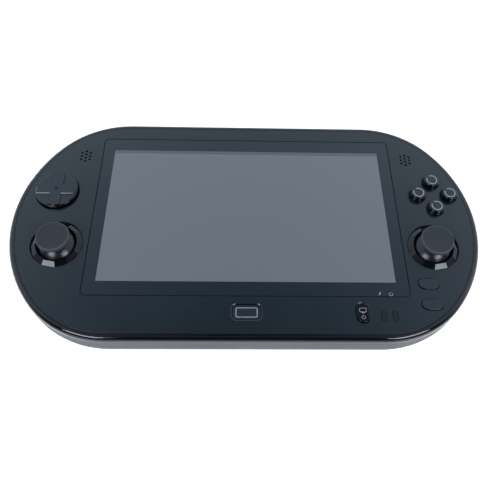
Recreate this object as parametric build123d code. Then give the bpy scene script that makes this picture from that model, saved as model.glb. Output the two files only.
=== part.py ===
from build123d import *
import math
import os

# Handheld game console, lying on its back on four rubber feet, screen up.
# Frame: origin under the middle of the console on the plane that the feet stand on.
# +X runs to the player's right, +Y to the top edge and +Z out of the screen. Millimetres.

# Screen and window
active_width = 154.2
active_height = 85.9
lens_side_border = 6.95
lens_top_border = 8.65
lens_bottom_border = 8.25
lens_corner_radius = 2.5
lens_thickness = 1.2
lens_gap = 0.3
tape_thickness = 0.12
tape_width = 3.0

# Case
grip_width = 43.25
brow_height = 11.65
chin_height = 23.55
body_depth = 25.2
front_thickness = 2.2
wall = 2.0
frame_height = 4.5
frame_ledge_thickness = 1.0
rim_radius = 2.5
rim_land = 0.8
panel_gap = 0.08
panel_edge_radius = 0.12
ledge_width = 0.8
rear_edge_radius = 15.0
seam_chamfer = 0.25
tongue_height = 0.9
tongue_thickness = 0.8
tongue_root = 0.75
fit_gap = 0.1
shoulder_radius_share = 0.3768
end_radius_share = 0.5652

# Rubber feet
foot_proud = 0.8
foot_radius = 5.0
foot_sunk = 0.7
foot_edge_radius = 0.3
foot_x_shares = (-0.62, 0.62)
foot_y_shares = (-0.52, 0.52)

# Case screws
case_screw_inset = 8.1
case_screw_zone_shares = ((0.762, 1), (0.4755, -1), (0.9755, -1))
case_head_radius = 2.1
case_head_height = 1.6
case_shank_radius = 1.2
case_post_radius = 3.3
case_boss_radius = 3.0
case_head_depth = 6.4
case_post_height = 10.2
case_screw_reach = 7.0
screw_clearance = 0.03
head_clearance = 0.25
socket_depth = 0.8
socket_width = 0.55

# Small machine screws inside
screw_head_radius = 1.7
screw_head_height = 1.1
screw_shank_radius = 0.9
screw_reach = 3.2
standoff_radius = 2.1

# Display stack
gasket_thickness = 0.3
gasket_width = 2.2
aperture_margin = 0.9
glass_thickness = 1.2
glass_side_border = 4.6
glass_top_border = 4.4
glass_bottom_border = 6.6
backlight_thickness = 2.2
backlight_margin = 0.7
bracket_thickness = 0.6
bracket_rim = 7.0
bracket_bar = 9.0
bracket_ear_length = 5.1
bracket_ear_width = 5.4
bracket_ear_x_share = 0.8
standoff_height = 2.6
display_gap = 0.4

# Main board
board_thickness = 1.2
main_board_width = 112.0
main_board_height = 60.0
main_board_top_gap = 5.6
main_board_corner = 1.5
main_screw_inset_x = 5.0
main_screw_drop = 16.0
main_screw_rise = 6.0
processor_size = 16.0
processor_height = 1.2
memory_width = 11.0
memory_length = 8.0
memory_gap = 3.0
spreader_width = 46.0
spreader_height = 30.0
spreader_thickness = 1.0
connector_width = 22.0
connector_depth = 3.0
connector_height = 1.0
processor_y_share = 0.46
coil_size = 6.0
coil_height = 1.6
coil_x_shares = (0.28, 0.36, 0.44)

# Ribbon cables
ribbon_thickness = 0.2
ribbon_loop = 1.2
display_ribbon_width = 18.0
side_ribbon_width = 9.0
side_ribbon_overlap = 3.0
side_ribbon_y_share = 0.6

# Battery
battery_width = 104.0
battery_height = 46.0
battery_thickness = 8.6
battery_corner = 3.0
battery_chin_gap = 3.0
battery_rib_height = 4.0
battery_rib_thickness = 1.2
battery_rib_length = 16.0
battery_rib_gap = 0.3

# Sockets in the top edge
jack_bore_radius = 1.78
jack_collar_radius = 2.35
jack_body_width = 6.2
jack_body_height = 4.8
jack_body_length = 11.6
jack_bore_depth = 14.0
jack_x_share = -0.607
port_width = 8.9
port_height = 3.2
port_length = 7.4
port_wall = 0.3
port_tongue_width = 6.6
port_tongue_thickness = 0.7
port_set_back = 0.5
port_x = 0.0
port_seat = 2.4
edge_gap = 0.15

# Volume rocker
rocker_width = 15.6
rocker_height = 3.6
rocker_thickness = 2.8
rocker_x_share = 0.643
rocker_gap = 0.35
rocker_hub_radius = 1.7
rocker_pivot_inset = 4.2
rocker_pin_radius = 0.8
rocker_edge_radius = 0.5
rocker_switch_size = 2.6
rocker_switch_gap = 0.55
rocker_switch_depth = 2.2

# Thumb sticks
stick_offset = 16.25
stick_drop = 21.55
stick_hole_radius = 10.6
collar_width = 2.7
collar_rise = 1.0
collar_sink = 0.5
collar_lip = 1.6
collar_land = 0.25
collar_side_count = 12
collar_turn_angle = -5
collar_seat_depth = 1.3
collar_gap = 0.15
spigot_wall = 1.0
spigot_gap = 0.1
dome_overlap = 2.1
dome_wall = 1.0
dome_clearance = 0.4
skirt_angle = 80
stick_rise = 8.5
stick_cap_radius = 8.6
stick_cap_thickness = 3.1
stick_cap_edge = 0.9
stick_cap_rim = 1.0
stick_cap_dish = 0.5
stick_neck_radius = 4.6
stick_boss_radius = 3.4
stick_boss_height_share = 0.45
stick_post_radius = 2.0
stick_post_depth = 3.2
stick_post_fit = 0.03
housing_share = 0.62
housing_wall = 1.3
housing_rise = 1.6
housing_floor = 1.0
housing_depth = 4.8
yoke_gap = 0.4
yoke_wall = 1.6
yoke_half_height = 1.2
stick_hub_radius = 2.3
stick_hub_drop = 1.6
stick_pin_radius = 0.9
pin_fit = 0.05
stick_plate_thickness = 1.2
stick_plate_drop = 4.0
stick_plate_margin = 0.4
stick_spacer_radius = 1.8
skirt_room = 0.6

# Direction pad
dpad_offset = 21.45
dpad_above_stick = 33.9
dpad_radius = 11.5
dpad_hole_gap = 0.55
dpad_rise = 3.0
dpad_arm_width = 6.4
dpad_arm_height = 0.7
dpad_edge_radius = 0.6
dpad_arm_radius = 0.25
dpad_dimple_radius = 0.9
dpad_dimple_depth = 0.45
dpad_skin = 3.0
dpad_flange = 1.3
dpad_flange_thickness = 1.2
dpad_flange_drop = 1.5
dpad_recess_radius = 8.2
dpad_ear_thickness = 1.2
dpad_ear_width = 3.2
dpad_ear_gap = 2.9
dpad_ear_reach = 1.4
dpad_cross_radius = 0.9
dpad_pivot_drop = 2.2
dpad_base_radius = 5.0
dpad_base_thickness = 0.8
dpad_dome_ring_gap = 0.9

# Face buttons
buttons_offset = 21.75
button_spacing = 8.9
button_radius = 4.7
button_hole_gap = 0.3
button_rise = 3.2
button_taper = 0.5
button_edge_radius = 0.5
button_flange = 0.9
flange_thickness = 1.0
flange_gap = 0.05

# Start and select
menu_offset = 10.25
start_share = 0.652
menu_edge_gap = 4.172
menu_length = 11.0
menu_width = 6.0
menu_rise = 0.5
menu_gap = 0.3
menu_edge_radius = 0.35
menu_flange = 0.8

# Home, power and status lights
home_drop = 8.55
home_width = 14.5
home_height = 8.2
home_corner = 2.5
home_sunk = 0.7
home_gap = 0.25
home_edge_radius = 0.3
lip_width = 0.4
lip_depth = 0.25
power_inboard = 25.75
power_drop = 8.75
power_width = 6.2
power_length = 10.4
power_rise = 0.5
power_edge_radius = 0.45
key_flange = 0.9
key_stem_radius = 1.5
key_stem_length = 0.75
light_inboard = 15.3
light_spacing = 5.75
light_drop = 10.45
light_width = 2.6
light_length = 5.5
light_gap = 0.2
light_flange = 0.6
light_air = 0.25
led_size = 1.6
led_height = 0.7

# Boards behind the controls
control_standoff = 5.4
control_board_inset = 7.6
control_board_side_gap = 1.25
control_board_top_gap = 3.3
control_board_bottom_gap = 10.5
control_screw_offsets = ((-10.8, 17.6), (4.2, 53.6), (6.7, -21.4))
pad_sheet = 0.8
pad_margin = 0.8
dome_top_radius = 1.5
dome_base_radius = 2.3
dome_touch_gap = 0.05
key_standoff = 4.4
key_board_left = 12.0
key_board_right_gap = 5.2
key_board_height = 8.5
key_board_y_shift = 0.9
key_screw_x_shares = (0.21, 0.52)
switch_size = 4.5
switch_height = 1.6
plunger_radius = 1.1
plunger_height = 0.4

# Speakers
speaker_offset = 9.55
speaker_drop = 13.4
speaker_width = 14.0
speaker_height = 10.0
speaker_thickness = 3.6
speaker_corner = 2.0
speaker_gasket = 0.4
speaker_gasket_rim = 1.5
speaker_hole_radius = 0.7
speaker_column_pitch = 2.4
speaker_row_pitch = 2.4
speaker_column_counts = (3, 4, 3)
speaker_rib = 0.9
speaker_rib_gap = 0.2
speaker_cone_radius = 3.6
speaker_cone_depth = 0.6

# Shoulder buttons
shoulder_bottom = 9.5
shoulder_top_gap = 1.2
shoulder_proud = 0.3
shoulder_thickness = 4.2
shoulder_pin_inset = 7.5
shoulder_pin_offset = 7.0
shoulder_inner_reach = 9.6
shoulder_outer_reach = 34.0
shoulder_gap = 0.35
shoulder_hub_radius = 2.3
shoulder_lever = 1.6
pin_radius = 0.9
pin_seat = 2.0
shoulder_switch_angle = 52
shoulder_switch_width = 6.0
shoulder_switch_depth = 3.6
shoulder_switch_height = 3.4
shoulder_switch_gap = 1.6

# Vents in the back
vent_count = 6
vent_length = 18.0
vent_width = 1.6
vent_pitch = 4.2

overrun = 1.0

# Worked out: plan
lens_width = active_width + 2 * lens_side_border
lens_height = active_height + lens_top_border + lens_bottom_border
body_length = lens_width + 2 * grip_width
body_height = lens_height + brow_height + chin_height
half_length = body_length / 2
half_height = body_height / 2
shoulder_radius = shoulder_radius_share * body_height
end_radius = end_radius_share * body_height
end_centre_x = half_length - end_radius
shoulder_centre_y = half_height - shoulder_radius
shoulder_centre_x = end_centre_x + math.sqrt(
    (end_radius - shoulder_radius) ** 2 - shoulder_centre_y ** 2
)
end_angle = math.degrees(math.atan2(shoulder_centre_y, shoulder_centre_x - end_centre_x))

lens_bottom = chin_height - half_height
lens_top = lens_bottom + lens_height
lens_y = (lens_bottom + lens_top) / 2
zone_x = lens_width / 2
active_y = lens_bottom + lens_bottom_border + active_height / 2
stick_x = zone_x + stick_offset
stick_y = lens_y - stick_drop
dpad_x = -(zone_x + dpad_offset)
dpad_y = stick_y + dpad_above_stick
buttons_x = zone_x + buttons_offset
buttons_y = dpad_y
menu_x = zone_x + menu_offset
home_y = lens_bottom - home_drop
power_x = zone_x - power_inboard
power_y = lens_bottom - power_drop
light_x = zone_x - light_inboard
light_y = lens_bottom - light_drop
speaker_x = zone_x + speaker_offset
speaker_y = lens_top - speaker_drop
jack_x = jack_x_share * main_board_width / 2
rocker_x = rocker_x_share * main_board_width / 2

# Worked out: heights
face_z = foot_proud + body_depth
plate_bottom = face_z - front_thickness
seam_z = face_z - frame_height
ledge_z = plate_bottom - frame_ledge_thickness
floor_z = foot_proud + wall
rim_width = rim_radius + rim_land
pocket_z = face_z - lens_thickness - tape_thickness
glass_top = plate_bottom - gasket_thickness
glass_bottom = glass_top - glass_thickness
backlight_bottom = glass_bottom - backlight_thickness
bracket_bottom = backlight_bottom - bracket_thickness
main_board_top = bracket_bottom - standoff_height
main_board_bottom = main_board_top - board_thickness
control_board_top = plate_bottom - control_standoff
control_board_bottom = control_board_top - board_thickness
key_board_top = plate_bottom - key_standoff
key_board_bottom = key_board_top - board_thickness
edge_socket_z = main_board_top + port_height / 2
button_bottom = plate_bottom - flange_gap - flange_thickness

# Worked out: thumb stick, measured from its pivot
dome_radius = stick_hole_radius + dome_overlap
dome_inner_radius = dome_radius - dome_wall
lip_height = math.sqrt((dome_radius + dome_clearance) ** 2 - stick_hole_radius ** 2)
pivot_z = face_z + collar_rise - collar_lip - lip_height
stick_top = face_z + stick_rise - pivot_z
collar_radius = stick_hole_radius + collar_width
collar_seat_radius = collar_radius / math.cos(math.pi / collar_side_count) + collar_gap
spigot_bore = math.sqrt((dome_radius + dome_clearance) ** 2 - (plate_bottom - pivot_z) ** 2)
spigot_radius = spigot_bore + spigot_wall
housing_half = housing_share * dome_inner_radius
cavity_half = housing_half - housing_wall
yoke_half = cavity_half - yoke_gap
stick_cutout = dome_radius + skirt_room
stick_spacer_at = (stick_cutout + stick_spacer_radius) / math.sqrt(2)


def slab(face, low, high):
    """The face pushed up from one height to another."""
    return extrude(Pos(0, 0, low) * face, amount=high - low)


def disc(x, y, radius, low, high):
    """A round peg standing on one height and ending at another."""
    return Pos(x, y, low) * Cylinder(radius, high - low, align=(Align.CENTER, Align.CENTER, Align.MIN))


def tapered(x, y, base_radius, top_radius, low, high):
    """A round peg that narrows towards its top."""
    return Pos(x, y, low) * Cone(
        base_radius, top_radius, high - low, align=(Align.CENTER, Align.CENTER, Align.MIN)
    )


def block(x_low, x_high, y_low, y_high, z_low, z_high):
    """A box between its low and high corners."""
    box = Box(x_high - x_low, y_high - y_low, z_high - z_low, align=(Align.MIN, Align.MIN, Align.MIN))
    return Pos(x_low, y_low, z_low) * box


def cushion(x, y, width, height, corner, low, high):
    """A box with rounded upright corners."""
    return slab(Pos(x, y) * RectangleRounded(width, height, corner), low, high)


def capsule(x, y, width, height, low, high):
    """A box whose short ends are half circles."""
    if width > height:
        return slab(Pos(x, y) * SlotOverall(width, height), low, high)
    return slab(Pos(x, y) * SlotOverall(height, width, rotation=90), low, high)


def top_edges(solid):
    return solid.edges().group_by(Axis.Z)[-1]


def bottom_edges(solid):
    return solid.edges().group_by(Axis.Z)[0]


def flipped(solid):
    """The same piece on the other side of the console."""
    return mirror(solid, about=Plane.YZ)


def oval(inset):
    """The case outline: straight top and bottom, shoulder arcs and end arcs, drawn in by the inset."""
    edge_y = half_height - inset
    shoulder = shoulder_radius - inset
    end = end_radius - inset
    corner = 90 - end_angle
    lines = [
        Line((shoulder_centre_x, -edge_y), (-shoulder_centre_x, -edge_y)),
        CenterArc((-shoulder_centre_x, -shoulder_centre_y), shoulder, 180 + end_angle, corner),
        CenterArc((-end_centre_x, 0), end, 180 - end_angle, 2 * end_angle),
        CenterArc((-shoulder_centre_x, shoulder_centre_y), shoulder, 90, corner),
        Line((-shoulder_centre_x, edge_y), (shoulder_centre_x, edge_y)),
        CenterArc((shoulder_centre_x, shoulder_centre_y), shoulder, end_angle, corner),
        CenterArc((end_centre_x, 0), end, -end_angle, 2 * end_angle),
        CenterArc((shoulder_centre_x, -shoulder_centre_y), shoulder, -90, corner),
    ]
    return make_face(lines)


def edge_height(x, inset):
    """How far above the middle the drawn-in outline lies at a place along the console."""
    across = abs(x)
    if across <= shoulder_centre_x:
        return half_height - inset
    if across <= shoulder_centre_x + (shoulder_radius - inset) * math.cos(math.radians(end_angle)):
        rise = math.sqrt((shoulder_radius - inset) ** 2 - (across - shoulder_centre_x) ** 2)
        return shoulder_centre_y + rise
    return math.sqrt((end_radius - inset) ** 2 - (across - end_centre_x) ** 2)


def rear_form(inset, top):
    """The rounded back of the case as a full body, drawn in by the inset."""
    body = slab(oval(inset), foot_proud + inset, top)
    return fillet(bottom_edges(body), rear_edge_radius - inset)


def case_screw_places():
    places = [(half_length - case_screw_inset, 0), (case_screw_inset - half_length, 0)]
    for share, side in case_screw_zone_shares:
        x = share * zone_x
        y = side * edge_height(x, case_screw_inset)
        places += [(x, y), (-x, y)]
    return places


def bracket_screw_places():
    x = bracket_ear_x_share * lens_width / 2
    high = display_top() + bracket_ear_length - bracket_ear_width / 2
    low = display_bottom() - bracket_ear_length + bracket_ear_width / 2
    return [(x, high), (-x, high), (x, low), (-x, low)]


def control_screw_places():
    return [(stick_x + dx, stick_y + dy) for dx, dy in control_screw_offsets]


def key_screw_places():
    return [(share * zone_x, key_board_y()) for share in key_screw_x_shares]


def main_screw_places():
    x = main_board_width / 2 - main_screw_inset_x
    high = main_board_y_top() - main_screw_drop
    low = main_board_y_top() - main_board_height + main_screw_rise
    return [(x, high), (-x, high), (x, low), (-x, low)]


def display_top():
    return active_y + active_height / 2 + glass_top_border + backlight_margin


def display_bottom():
    return active_y - active_height / 2 - glass_bottom_border - backlight_margin


def key_board_y():
    return power_y + key_board_y_shift


def main_board_y_top():
    return half_height - main_board_top_gap


def shoulder_pin_place():
    x = shoulder_centre_x + shoulder_pin_offset
    return x, edge_height(x, shoulder_pin_inset)


def menu_places():
    """Select lies off the ledge inside the case's edge, and start between it and the stick."""
    select_y = menu_edge_gap - edge_height(menu_x + menu_length / 2, rim_width + ledge_width)
    return stick_y + start_share * (select_y - stick_y), select_y


def rocker_pin_place():
    return rocker_x, half_height - rocker_pivot_inset


def button_places():
    return {
        "top_button": (buttons_x, buttons_y + button_spacing),
        "right_button": (buttons_x + button_spacing, buttons_y),
        "bottom_button": (buttons_x, buttons_y - button_spacing),
        "left_button": (buttons_x - button_spacing, buttons_y),
    }


def light_places():
    return [(light_x, light_y), (light_x + light_spacing, light_y)]


def speaker_hole_places():
    places = []
    middle = (len(speaker_column_counts) - 1) / 2
    for column, count in enumerate(speaker_column_counts):
        for row in range(count):
            y = (row - (count - 1) / 2) * speaker_row_pitch
            places.append((speaker_x + (column - middle) * speaker_column_pitch, speaker_y + y))
    return places


# Side frame: a gloss ring between the front and the back, with the rounded rim.
def side_frame():
    ring = slab(oval(0), seam_z, face_z)
    ring = fillet(top_edges(ring), rim_radius)
    ring -= slab(oval(rim_width), plate_bottom, face_z + overrun)
    ring -= slab(oval(rim_width + ledge_width), seam_z - overrun, face_z)
    ring -= slab(oval(wall), seam_z - overrun, ledge_z)
    return ring


# Front shell: the flat face with every opening, its bosses and its ribs.
def front_shell():
    shell = slab(oval(rim_width + panel_gap), plate_bottom, face_z)
    shell = fillet(top_edges(shell), panel_edge_radius)

    for x, y in case_screw_places():
        shell += disc(x, y, case_boss_radius, case_meet_z(), plate_bottom)
    for x, y in bracket_screw_places():
        shell += disc(x, y, standoff_radius, bracket_bottom + bracket_thickness, plate_bottom)
    for x, y in control_screw_places():
        post = disc(x, y, standoff_radius, control_board_top, plate_bottom)
        shell += post
        shell += flipped(post)
    for x, y in key_screw_places():
        shell += disc(x, y, standoff_radius, key_board_top, plate_bottom)
    for solid in pin_boss_tops():
        shell += solid
    shell += speaker_ribs()
    shell += flipped(speaker_ribs())

    shell -= cushion(0, lens_y, lens_width, lens_height, lens_corner_radius, pocket_z, face_z + overrun)
    shell -= block(
        -active_width / 2 - aperture_margin,
        active_width / 2 + aperture_margin,
        active_y - active_height / 2 - aperture_margin,
        active_y + active_height / 2 + aperture_margin,
        plate_bottom - overrun,
        face_z,
    )
    for side in (-1, 1):
        x = side * stick_x
        shell -= disc(x, stick_y, spigot_radius + spigot_gap, plate_bottom - overrun, face_z)
        shell -= disc(x, stick_y, collar_seat_radius, face_z - collar_seat_depth, face_z + overrun)
        for hole_x, hole_y in speaker_hole_places():
            shell -= disc(
                side * hole_x, hole_y, speaker_hole_radius, plate_bottom - overrun, face_z + overrun
            )
    low = plate_bottom - overrun
    high = face_z + overrun
    shell -= disc(dpad_x, dpad_y, dpad_radius + dpad_hole_gap, low, high)
    for x, y in button_places().values():
        shell -= disc(x, y, button_radius + button_hole_gap, low, high)
    for y in menu_places():
        shell -= capsule(menu_x, y, menu_length + 2 * menu_gap, menu_width + 2 * menu_gap, low, high)
    for opening in (home_opening(), power_opening()):
        shell -= slab(opening, low, high)
        shell -= lip(opening)
    for x, y in light_places():
        shell -= capsule(x, y, light_width + 2 * light_gap, light_length + 2 * light_gap, low, high)

    pilot = screw_shank_radius + screw_clearance
    for x, y in case_screw_places():
        top = case_meet_z() + case_screw_reach + overrun
        shell -= disc(x, y, case_shank_radius + screw_clearance, case_meet_z() - overrun, top)
    for x, y in bracket_screw_places():
        seat = bracket_bottom + bracket_thickness
        shell -= disc(x, y, pilot, seat - overrun, seat + screw_reach)
    for x, y in control_screw_places():
        hole = disc(x, y, pilot, control_board_top - overrun, control_board_top + screw_reach)
        shell -= hole
        shell -= flipped(hole)
    for x, y in key_screw_places():
        shell -= disc(x, y, pilot, key_board_top - overrun, key_board_top + screw_reach)
    for hole in pin_holes():
        shell -= hole
    return shell


def home_opening():
    shape = RectangleRounded(home_width + 2 * home_gap, home_height + 2 * home_gap, home_corner + home_gap)
    return Pos(0, home_y) * shape


def power_opening():
    shape = SlotOverall(power_length + 2 * home_gap, power_width + 2 * home_gap, rotation=90)
    return Pos(power_x, power_y) * shape


def lip(opening):
    """The sloped edge that is cut round an opening of the face, as a body."""
    slope = math.degrees(math.atan2(lip_width, lip_depth))
    return extrude(Pos(0, 0, face_z - lip_depth) * opening, amount=lip_depth + overrun, taper=-slope)


def case_meet_z():
    """Where the posts of the back meet the bosses of the front."""
    return foot_proud + case_post_height


def speaker_ribs():
    """A low wall round each speaker, which holds it in place."""
    grow = 2 * speaker_rib_gap
    outer = cushion(
        speaker_x,
        speaker_y,
        speaker_width + grow + 2 * speaker_rib,
        speaker_height + grow + 2 * speaker_rib,
        speaker_corner + speaker_rib_gap + speaker_rib,
        plate_bottom - speaker_thickness,
        plate_bottom,
    )
    inner = cushion(
        speaker_x,
        speaker_y,
        speaker_width + grow,
        speaker_height + grow,
        speaker_corner + speaker_rib_gap,
        plate_bottom - speaker_thickness - overrun,
        plate_bottom,
    )
    return outer - inner


def shoulder_top():
    return seam_z - shoulder_top_gap


def rocker_low():
    return edge_socket_z - rocker_height / 2


def rocker_high():
    return edge_socket_z + rocker_height / 2


def pin_boss_tops():
    """Bosses under the face that hold the upper ends of the three hinge pins."""
    x, y = shoulder_pin_place()
    boss = disc(x, y, shoulder_hub_radius, shoulder_top() + shoulder_gap, plate_bottom)
    u, v = rocker_pin_place()
    low = rocker_high() + rocker_gap
    rocker = disc(u, v - rocker_boss_shift(), rocker_boss_radius(), low, plate_bottom)
    clear = slab(oval(rim_width + ledge_width + fit_gap), seam_z - body_depth, face_z)
    return [boss, flipped(boss), rocker & clear]


def rocker_boss_radius():
    return rocker_hub_radius + rocker_pin_radius


def rocker_boss_shift():
    return rocker_pin_radius


def pin_holes():
    """Blind holes for both ends of the hinge pins, in the front and in the back alike."""
    x, y = shoulder_pin_place()
    u, v = rocker_pin_place()
    radius = pin_radius + pin_fit
    hole = disc(x, y, radius, shoulder_pin_low(), shoulder_pin_high())
    rocker = disc(u, v, rocker_pin_radius + pin_fit, rocker_pin_low(), rocker_pin_high())
    return [hole, flipped(hole), rocker]


def shoulder_pin_low():
    return shoulder_bottom - shoulder_gap - pin_seat


def shoulder_pin_high():
    return shoulder_top() + shoulder_gap + pin_seat


def rocker_pin_low():
    return rocker_low() - rocker_gap - pin_seat


def rocker_pin_high():
    return rocker_high() + rocker_gap + pin_seat


# Rear shell: a deep rounded tray with posts, battery ribs, edge openings and vents.
def rear_shell():
    outer = rear_form(0, seam_z)
    shell = chamfer(top_edges(outer), seam_chamfer)
    shell -= rear_form(wall, seam_z + overrun)
    root = seam_z - tongue_root
    tongue = slab(oval(wall + fit_gap), root, seam_z + tongue_height)
    tongue += slab(oval(wall / 2), root, seam_z - seam_chamfer)
    tongue -= slab(oval(tongue_inset()), root - overrun, seam_z + tongue_height + overrun)
    shell += tongue

    posts = []
    for x, y in case_screw_places():
        posts.append(disc(x, y, case_post_radius, foot_proud, case_meet_z()))
    x, y = shoulder_pin_place()
    post = disc(x, y, shoulder_hub_radius, foot_proud, shoulder_bottom - shoulder_gap)
    posts += [post, flipped(post)]
    u, v = rocker_pin_place()
    posts.append(
        disc(u, v - rocker_boss_shift(), rocker_boss_radius(), foot_proud, rocker_low() - rocker_gap)
    )
    posts += battery_ribs()
    for post in posts:
        shell += post & outer

    for x, y in case_screw_places():
        shell -= disc(x, y, case_head_radius + head_clearance, foot_proud - overrun, case_seat_z())
        hole = case_shank_radius + head_clearance
        shell -= disc(x, y, hole, foot_proud, case_meet_z() + overrun)
    for x, y in foot_places():
        shell -= disc(x, y, foot_radius, foot_proud - overrun, foot_proud + foot_sunk)
    for hole in pin_holes():
        shell -= hole
    window = shoulder_window(shoulder_gap)
    shell -= window
    shell -= flipped(window)
    shell -= edge_openings()
    shell -= vents()
    return shell


def tongue_inset():
    """How far the inner face of the tongue lies inside the outline."""
    return wall + fit_gap + tongue_thickness


def case_seat_z():
    return foot_proud + case_head_depth


def foot_places():
    return [(a * half_length, b * half_height) for a in foot_x_shares for b in foot_y_shares]


def battery_y():
    return -half_height + chin_height - battery_chin_gap + battery_height / 2


def battery_ribs():
    """Low ribs on the floor that keep the battery from sliding."""
    ribs = []
    high = floor_z + battery_rib_height
    x = battery_width / 2 + battery_rib_gap
    y = battery_height / 2 + battery_rib_gap
    half = battery_rib_length / 2
    for side in (-1, 1):
        near = sorted((side * x, side * (x + battery_rib_thickness)))
        ribs.append(block(*near, battery_y() - half, battery_y() + half, foot_proud, high))
        near = sorted((side * y, side * (y + battery_rib_thickness)))
        for place in (-1, 1):
            middle = place * battery_width / 4
            low, top = battery_y() + near[0], battery_y() + near[1]
            ribs.append(block(middle - half, middle + half, low, top, foot_proud, high))
    return ribs


def shoulder_window(gap):
    """The stretch of side wall that a shoulder button fills, grown by the gap."""
    x, y = shoulder_pin_place()
    reach = shoulder_outer_reach + gap
    inner = shoulder_inner_reach - gap
    low = shoulder_bottom - gap
    high = shoulder_top() + gap
    room = disc(x, y, reach, low, high) - disc(x, y, inner, low, high)
    right = block(x, x + 2 * reach, y - 2 * reach, y + 2 * reach, low, high)
    band = slab(oval(-shoulder_proud - overrun), low, high)
    band -= slab(oval(shoulder_thickness + gap), low - overrun, high + overrun)
    return room & right & band


def edge_openings():
    """The holes in the top edge for the two sockets and the volume rocker."""
    inward = Plane((0, half_height + overrun, edge_socket_z), x_dir=(1, 0, 0), z_dir=(0, -1, 0))
    deep = wall + 2 * overrun
    jack = Pos(jack_x, 0) * Circle(jack_collar_radius + edge_gap)
    corner = port_height / 2
    port = Pos(port_x, 0) * RectangleRounded(
        port_width + 2 * edge_gap, port_height + 2 * edge_gap, corner
    )
    rocker = Pos(rocker_x, 0) * Rectangle(rocker_width + 2 * rocker_gap, rocker_height + 2 * rocker_gap)
    cuts = [extrude(inward * shape, amount=deep) for shape in (jack, port, rocker)]
    return cuts


def vents():
    """A row of slots in the back over the heat spreader."""
    slots = []
    for n in range(vent_count):
        x = (n - (vent_count - 1) / 2) * vent_pitch
        low, high = foot_proud - overrun, floor_z + overrun
        slots.append(capsule(x, spreader_y(), vent_width, vent_length, low, high))
    return slots


# Feet and case screws
def rubber_feet():
    feet = []
    for x, y in foot_places():
        foot = disc(x, y, foot_radius - fit_gap, 0, foot_proud + foot_sunk)
        feet.append(fillet(bottom_edges(foot), foot_edge_radius))
    return Compound(children=feet)


def pan_screw(head_radius, head_height, shank_radius, length):
    """A screw pointing up, its head's bearing face at zero height."""
    head = disc(0, 0, head_radius, -head_height, 0)
    head = fillet(bottom_edges(head), head_height / 3)
    slot_low = -head_height - overrun
    slot_high = -head_height + socket_depth * head_height / case_head_height
    arm = head_radius * socket_width
    width = head_radius * socket_width / 3
    head -= block(-arm, arm, -width, width, slot_low, slot_high)
    head -= block(-width, width, -arm, arm, slot_low, slot_high)
    return head + disc(0, 0, shank_radius, 0, length)


def case_screws():
    length = case_meet_z() + case_screw_reach - case_seat_z()
    screw = pan_screw(case_head_radius, case_head_height, case_shank_radius, length)
    return Compound(children=[Pos(x, y, case_seat_z()) * screw for x, y in case_screw_places()])


def inner_screws():
    """The small screws of the bracket, the boards and the stick plates, all driven from behind."""
    length = screw_reach + board_thickness - 2 * fit_gap
    screw = pan_screw(screw_head_radius, screw_head_height, screw_shank_radius, length)
    short = pan_screw(
        screw_head_radius,
        screw_head_height,
        screw_shank_radius,
        bracket_thickness + screw_reach - 2 * fit_gap,
    )
    main = pan_screw(
        screw_head_radius, screw_head_height, screw_shank_radius, board_thickness + standoff_height / 2
    )
    screws = [Pos(x, y, bracket_bottom) * short for x, y in bracket_screw_places()]
    screws += [Pos(x, y, main_board_bottom) * main for x, y in main_screw_places()]
    screws += [Pos(x, y, key_board_bottom) * screw for x, y in key_screw_places()]
    for side in (-1, 1):
        screws += [Pos(side * x, y, control_board_bottom) * screw for x, y in control_screw_places()]
    return Compound(children=screws)


# Display stack, from the window down to the steel bracket
def display_lens():
    lens = cushion(
        0,
        lens_y,
        lens_width - 2 * lens_gap,
        lens_height - 2 * lens_gap,
        lens_corner_radius - lens_gap,
        face_z - lens_thickness,
        face_z,
    )
    return chamfer(top_edges(lens), lens_gap / 2)


def lens_tape():
    shape = RectangleRounded(lens_width - 2 * lens_gap, lens_height - 2 * lens_gap, lens_corner_radius)
    hole = Rectangle(lens_width - 2 * tape_width, lens_height - 2 * tape_width)
    return slab(Pos(0, lens_y) * (shape - hole), pocket_z, face_z - lens_thickness)


def display_gasket():
    width = active_width + 2 * aperture_margin
    height = active_height + 2 * aperture_margin
    ring = Rectangle(width + 2 * gasket_width, height + 2 * gasket_width) - Rectangle(width, height)
    return slab(Pos(0, active_y) * ring, glass_top, plate_bottom)


def lcd_glass():
    half = active_width / 2 + glass_side_border
    low = active_y - active_height / 2 - glass_bottom_border
    high = active_y + active_height / 2 + glass_top_border
    return block(-half, half, low, high, glass_bottom, glass_top)


def backlight_unit():
    half = active_width / 2 + glass_side_border + backlight_margin
    tray = block(-half, half, display_bottom(), display_top(), backlight_bottom, glass_bottom)
    edges = tray.edges().filter_by(Axis.Z)
    return fillet(edges, backlight_margin)


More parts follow.
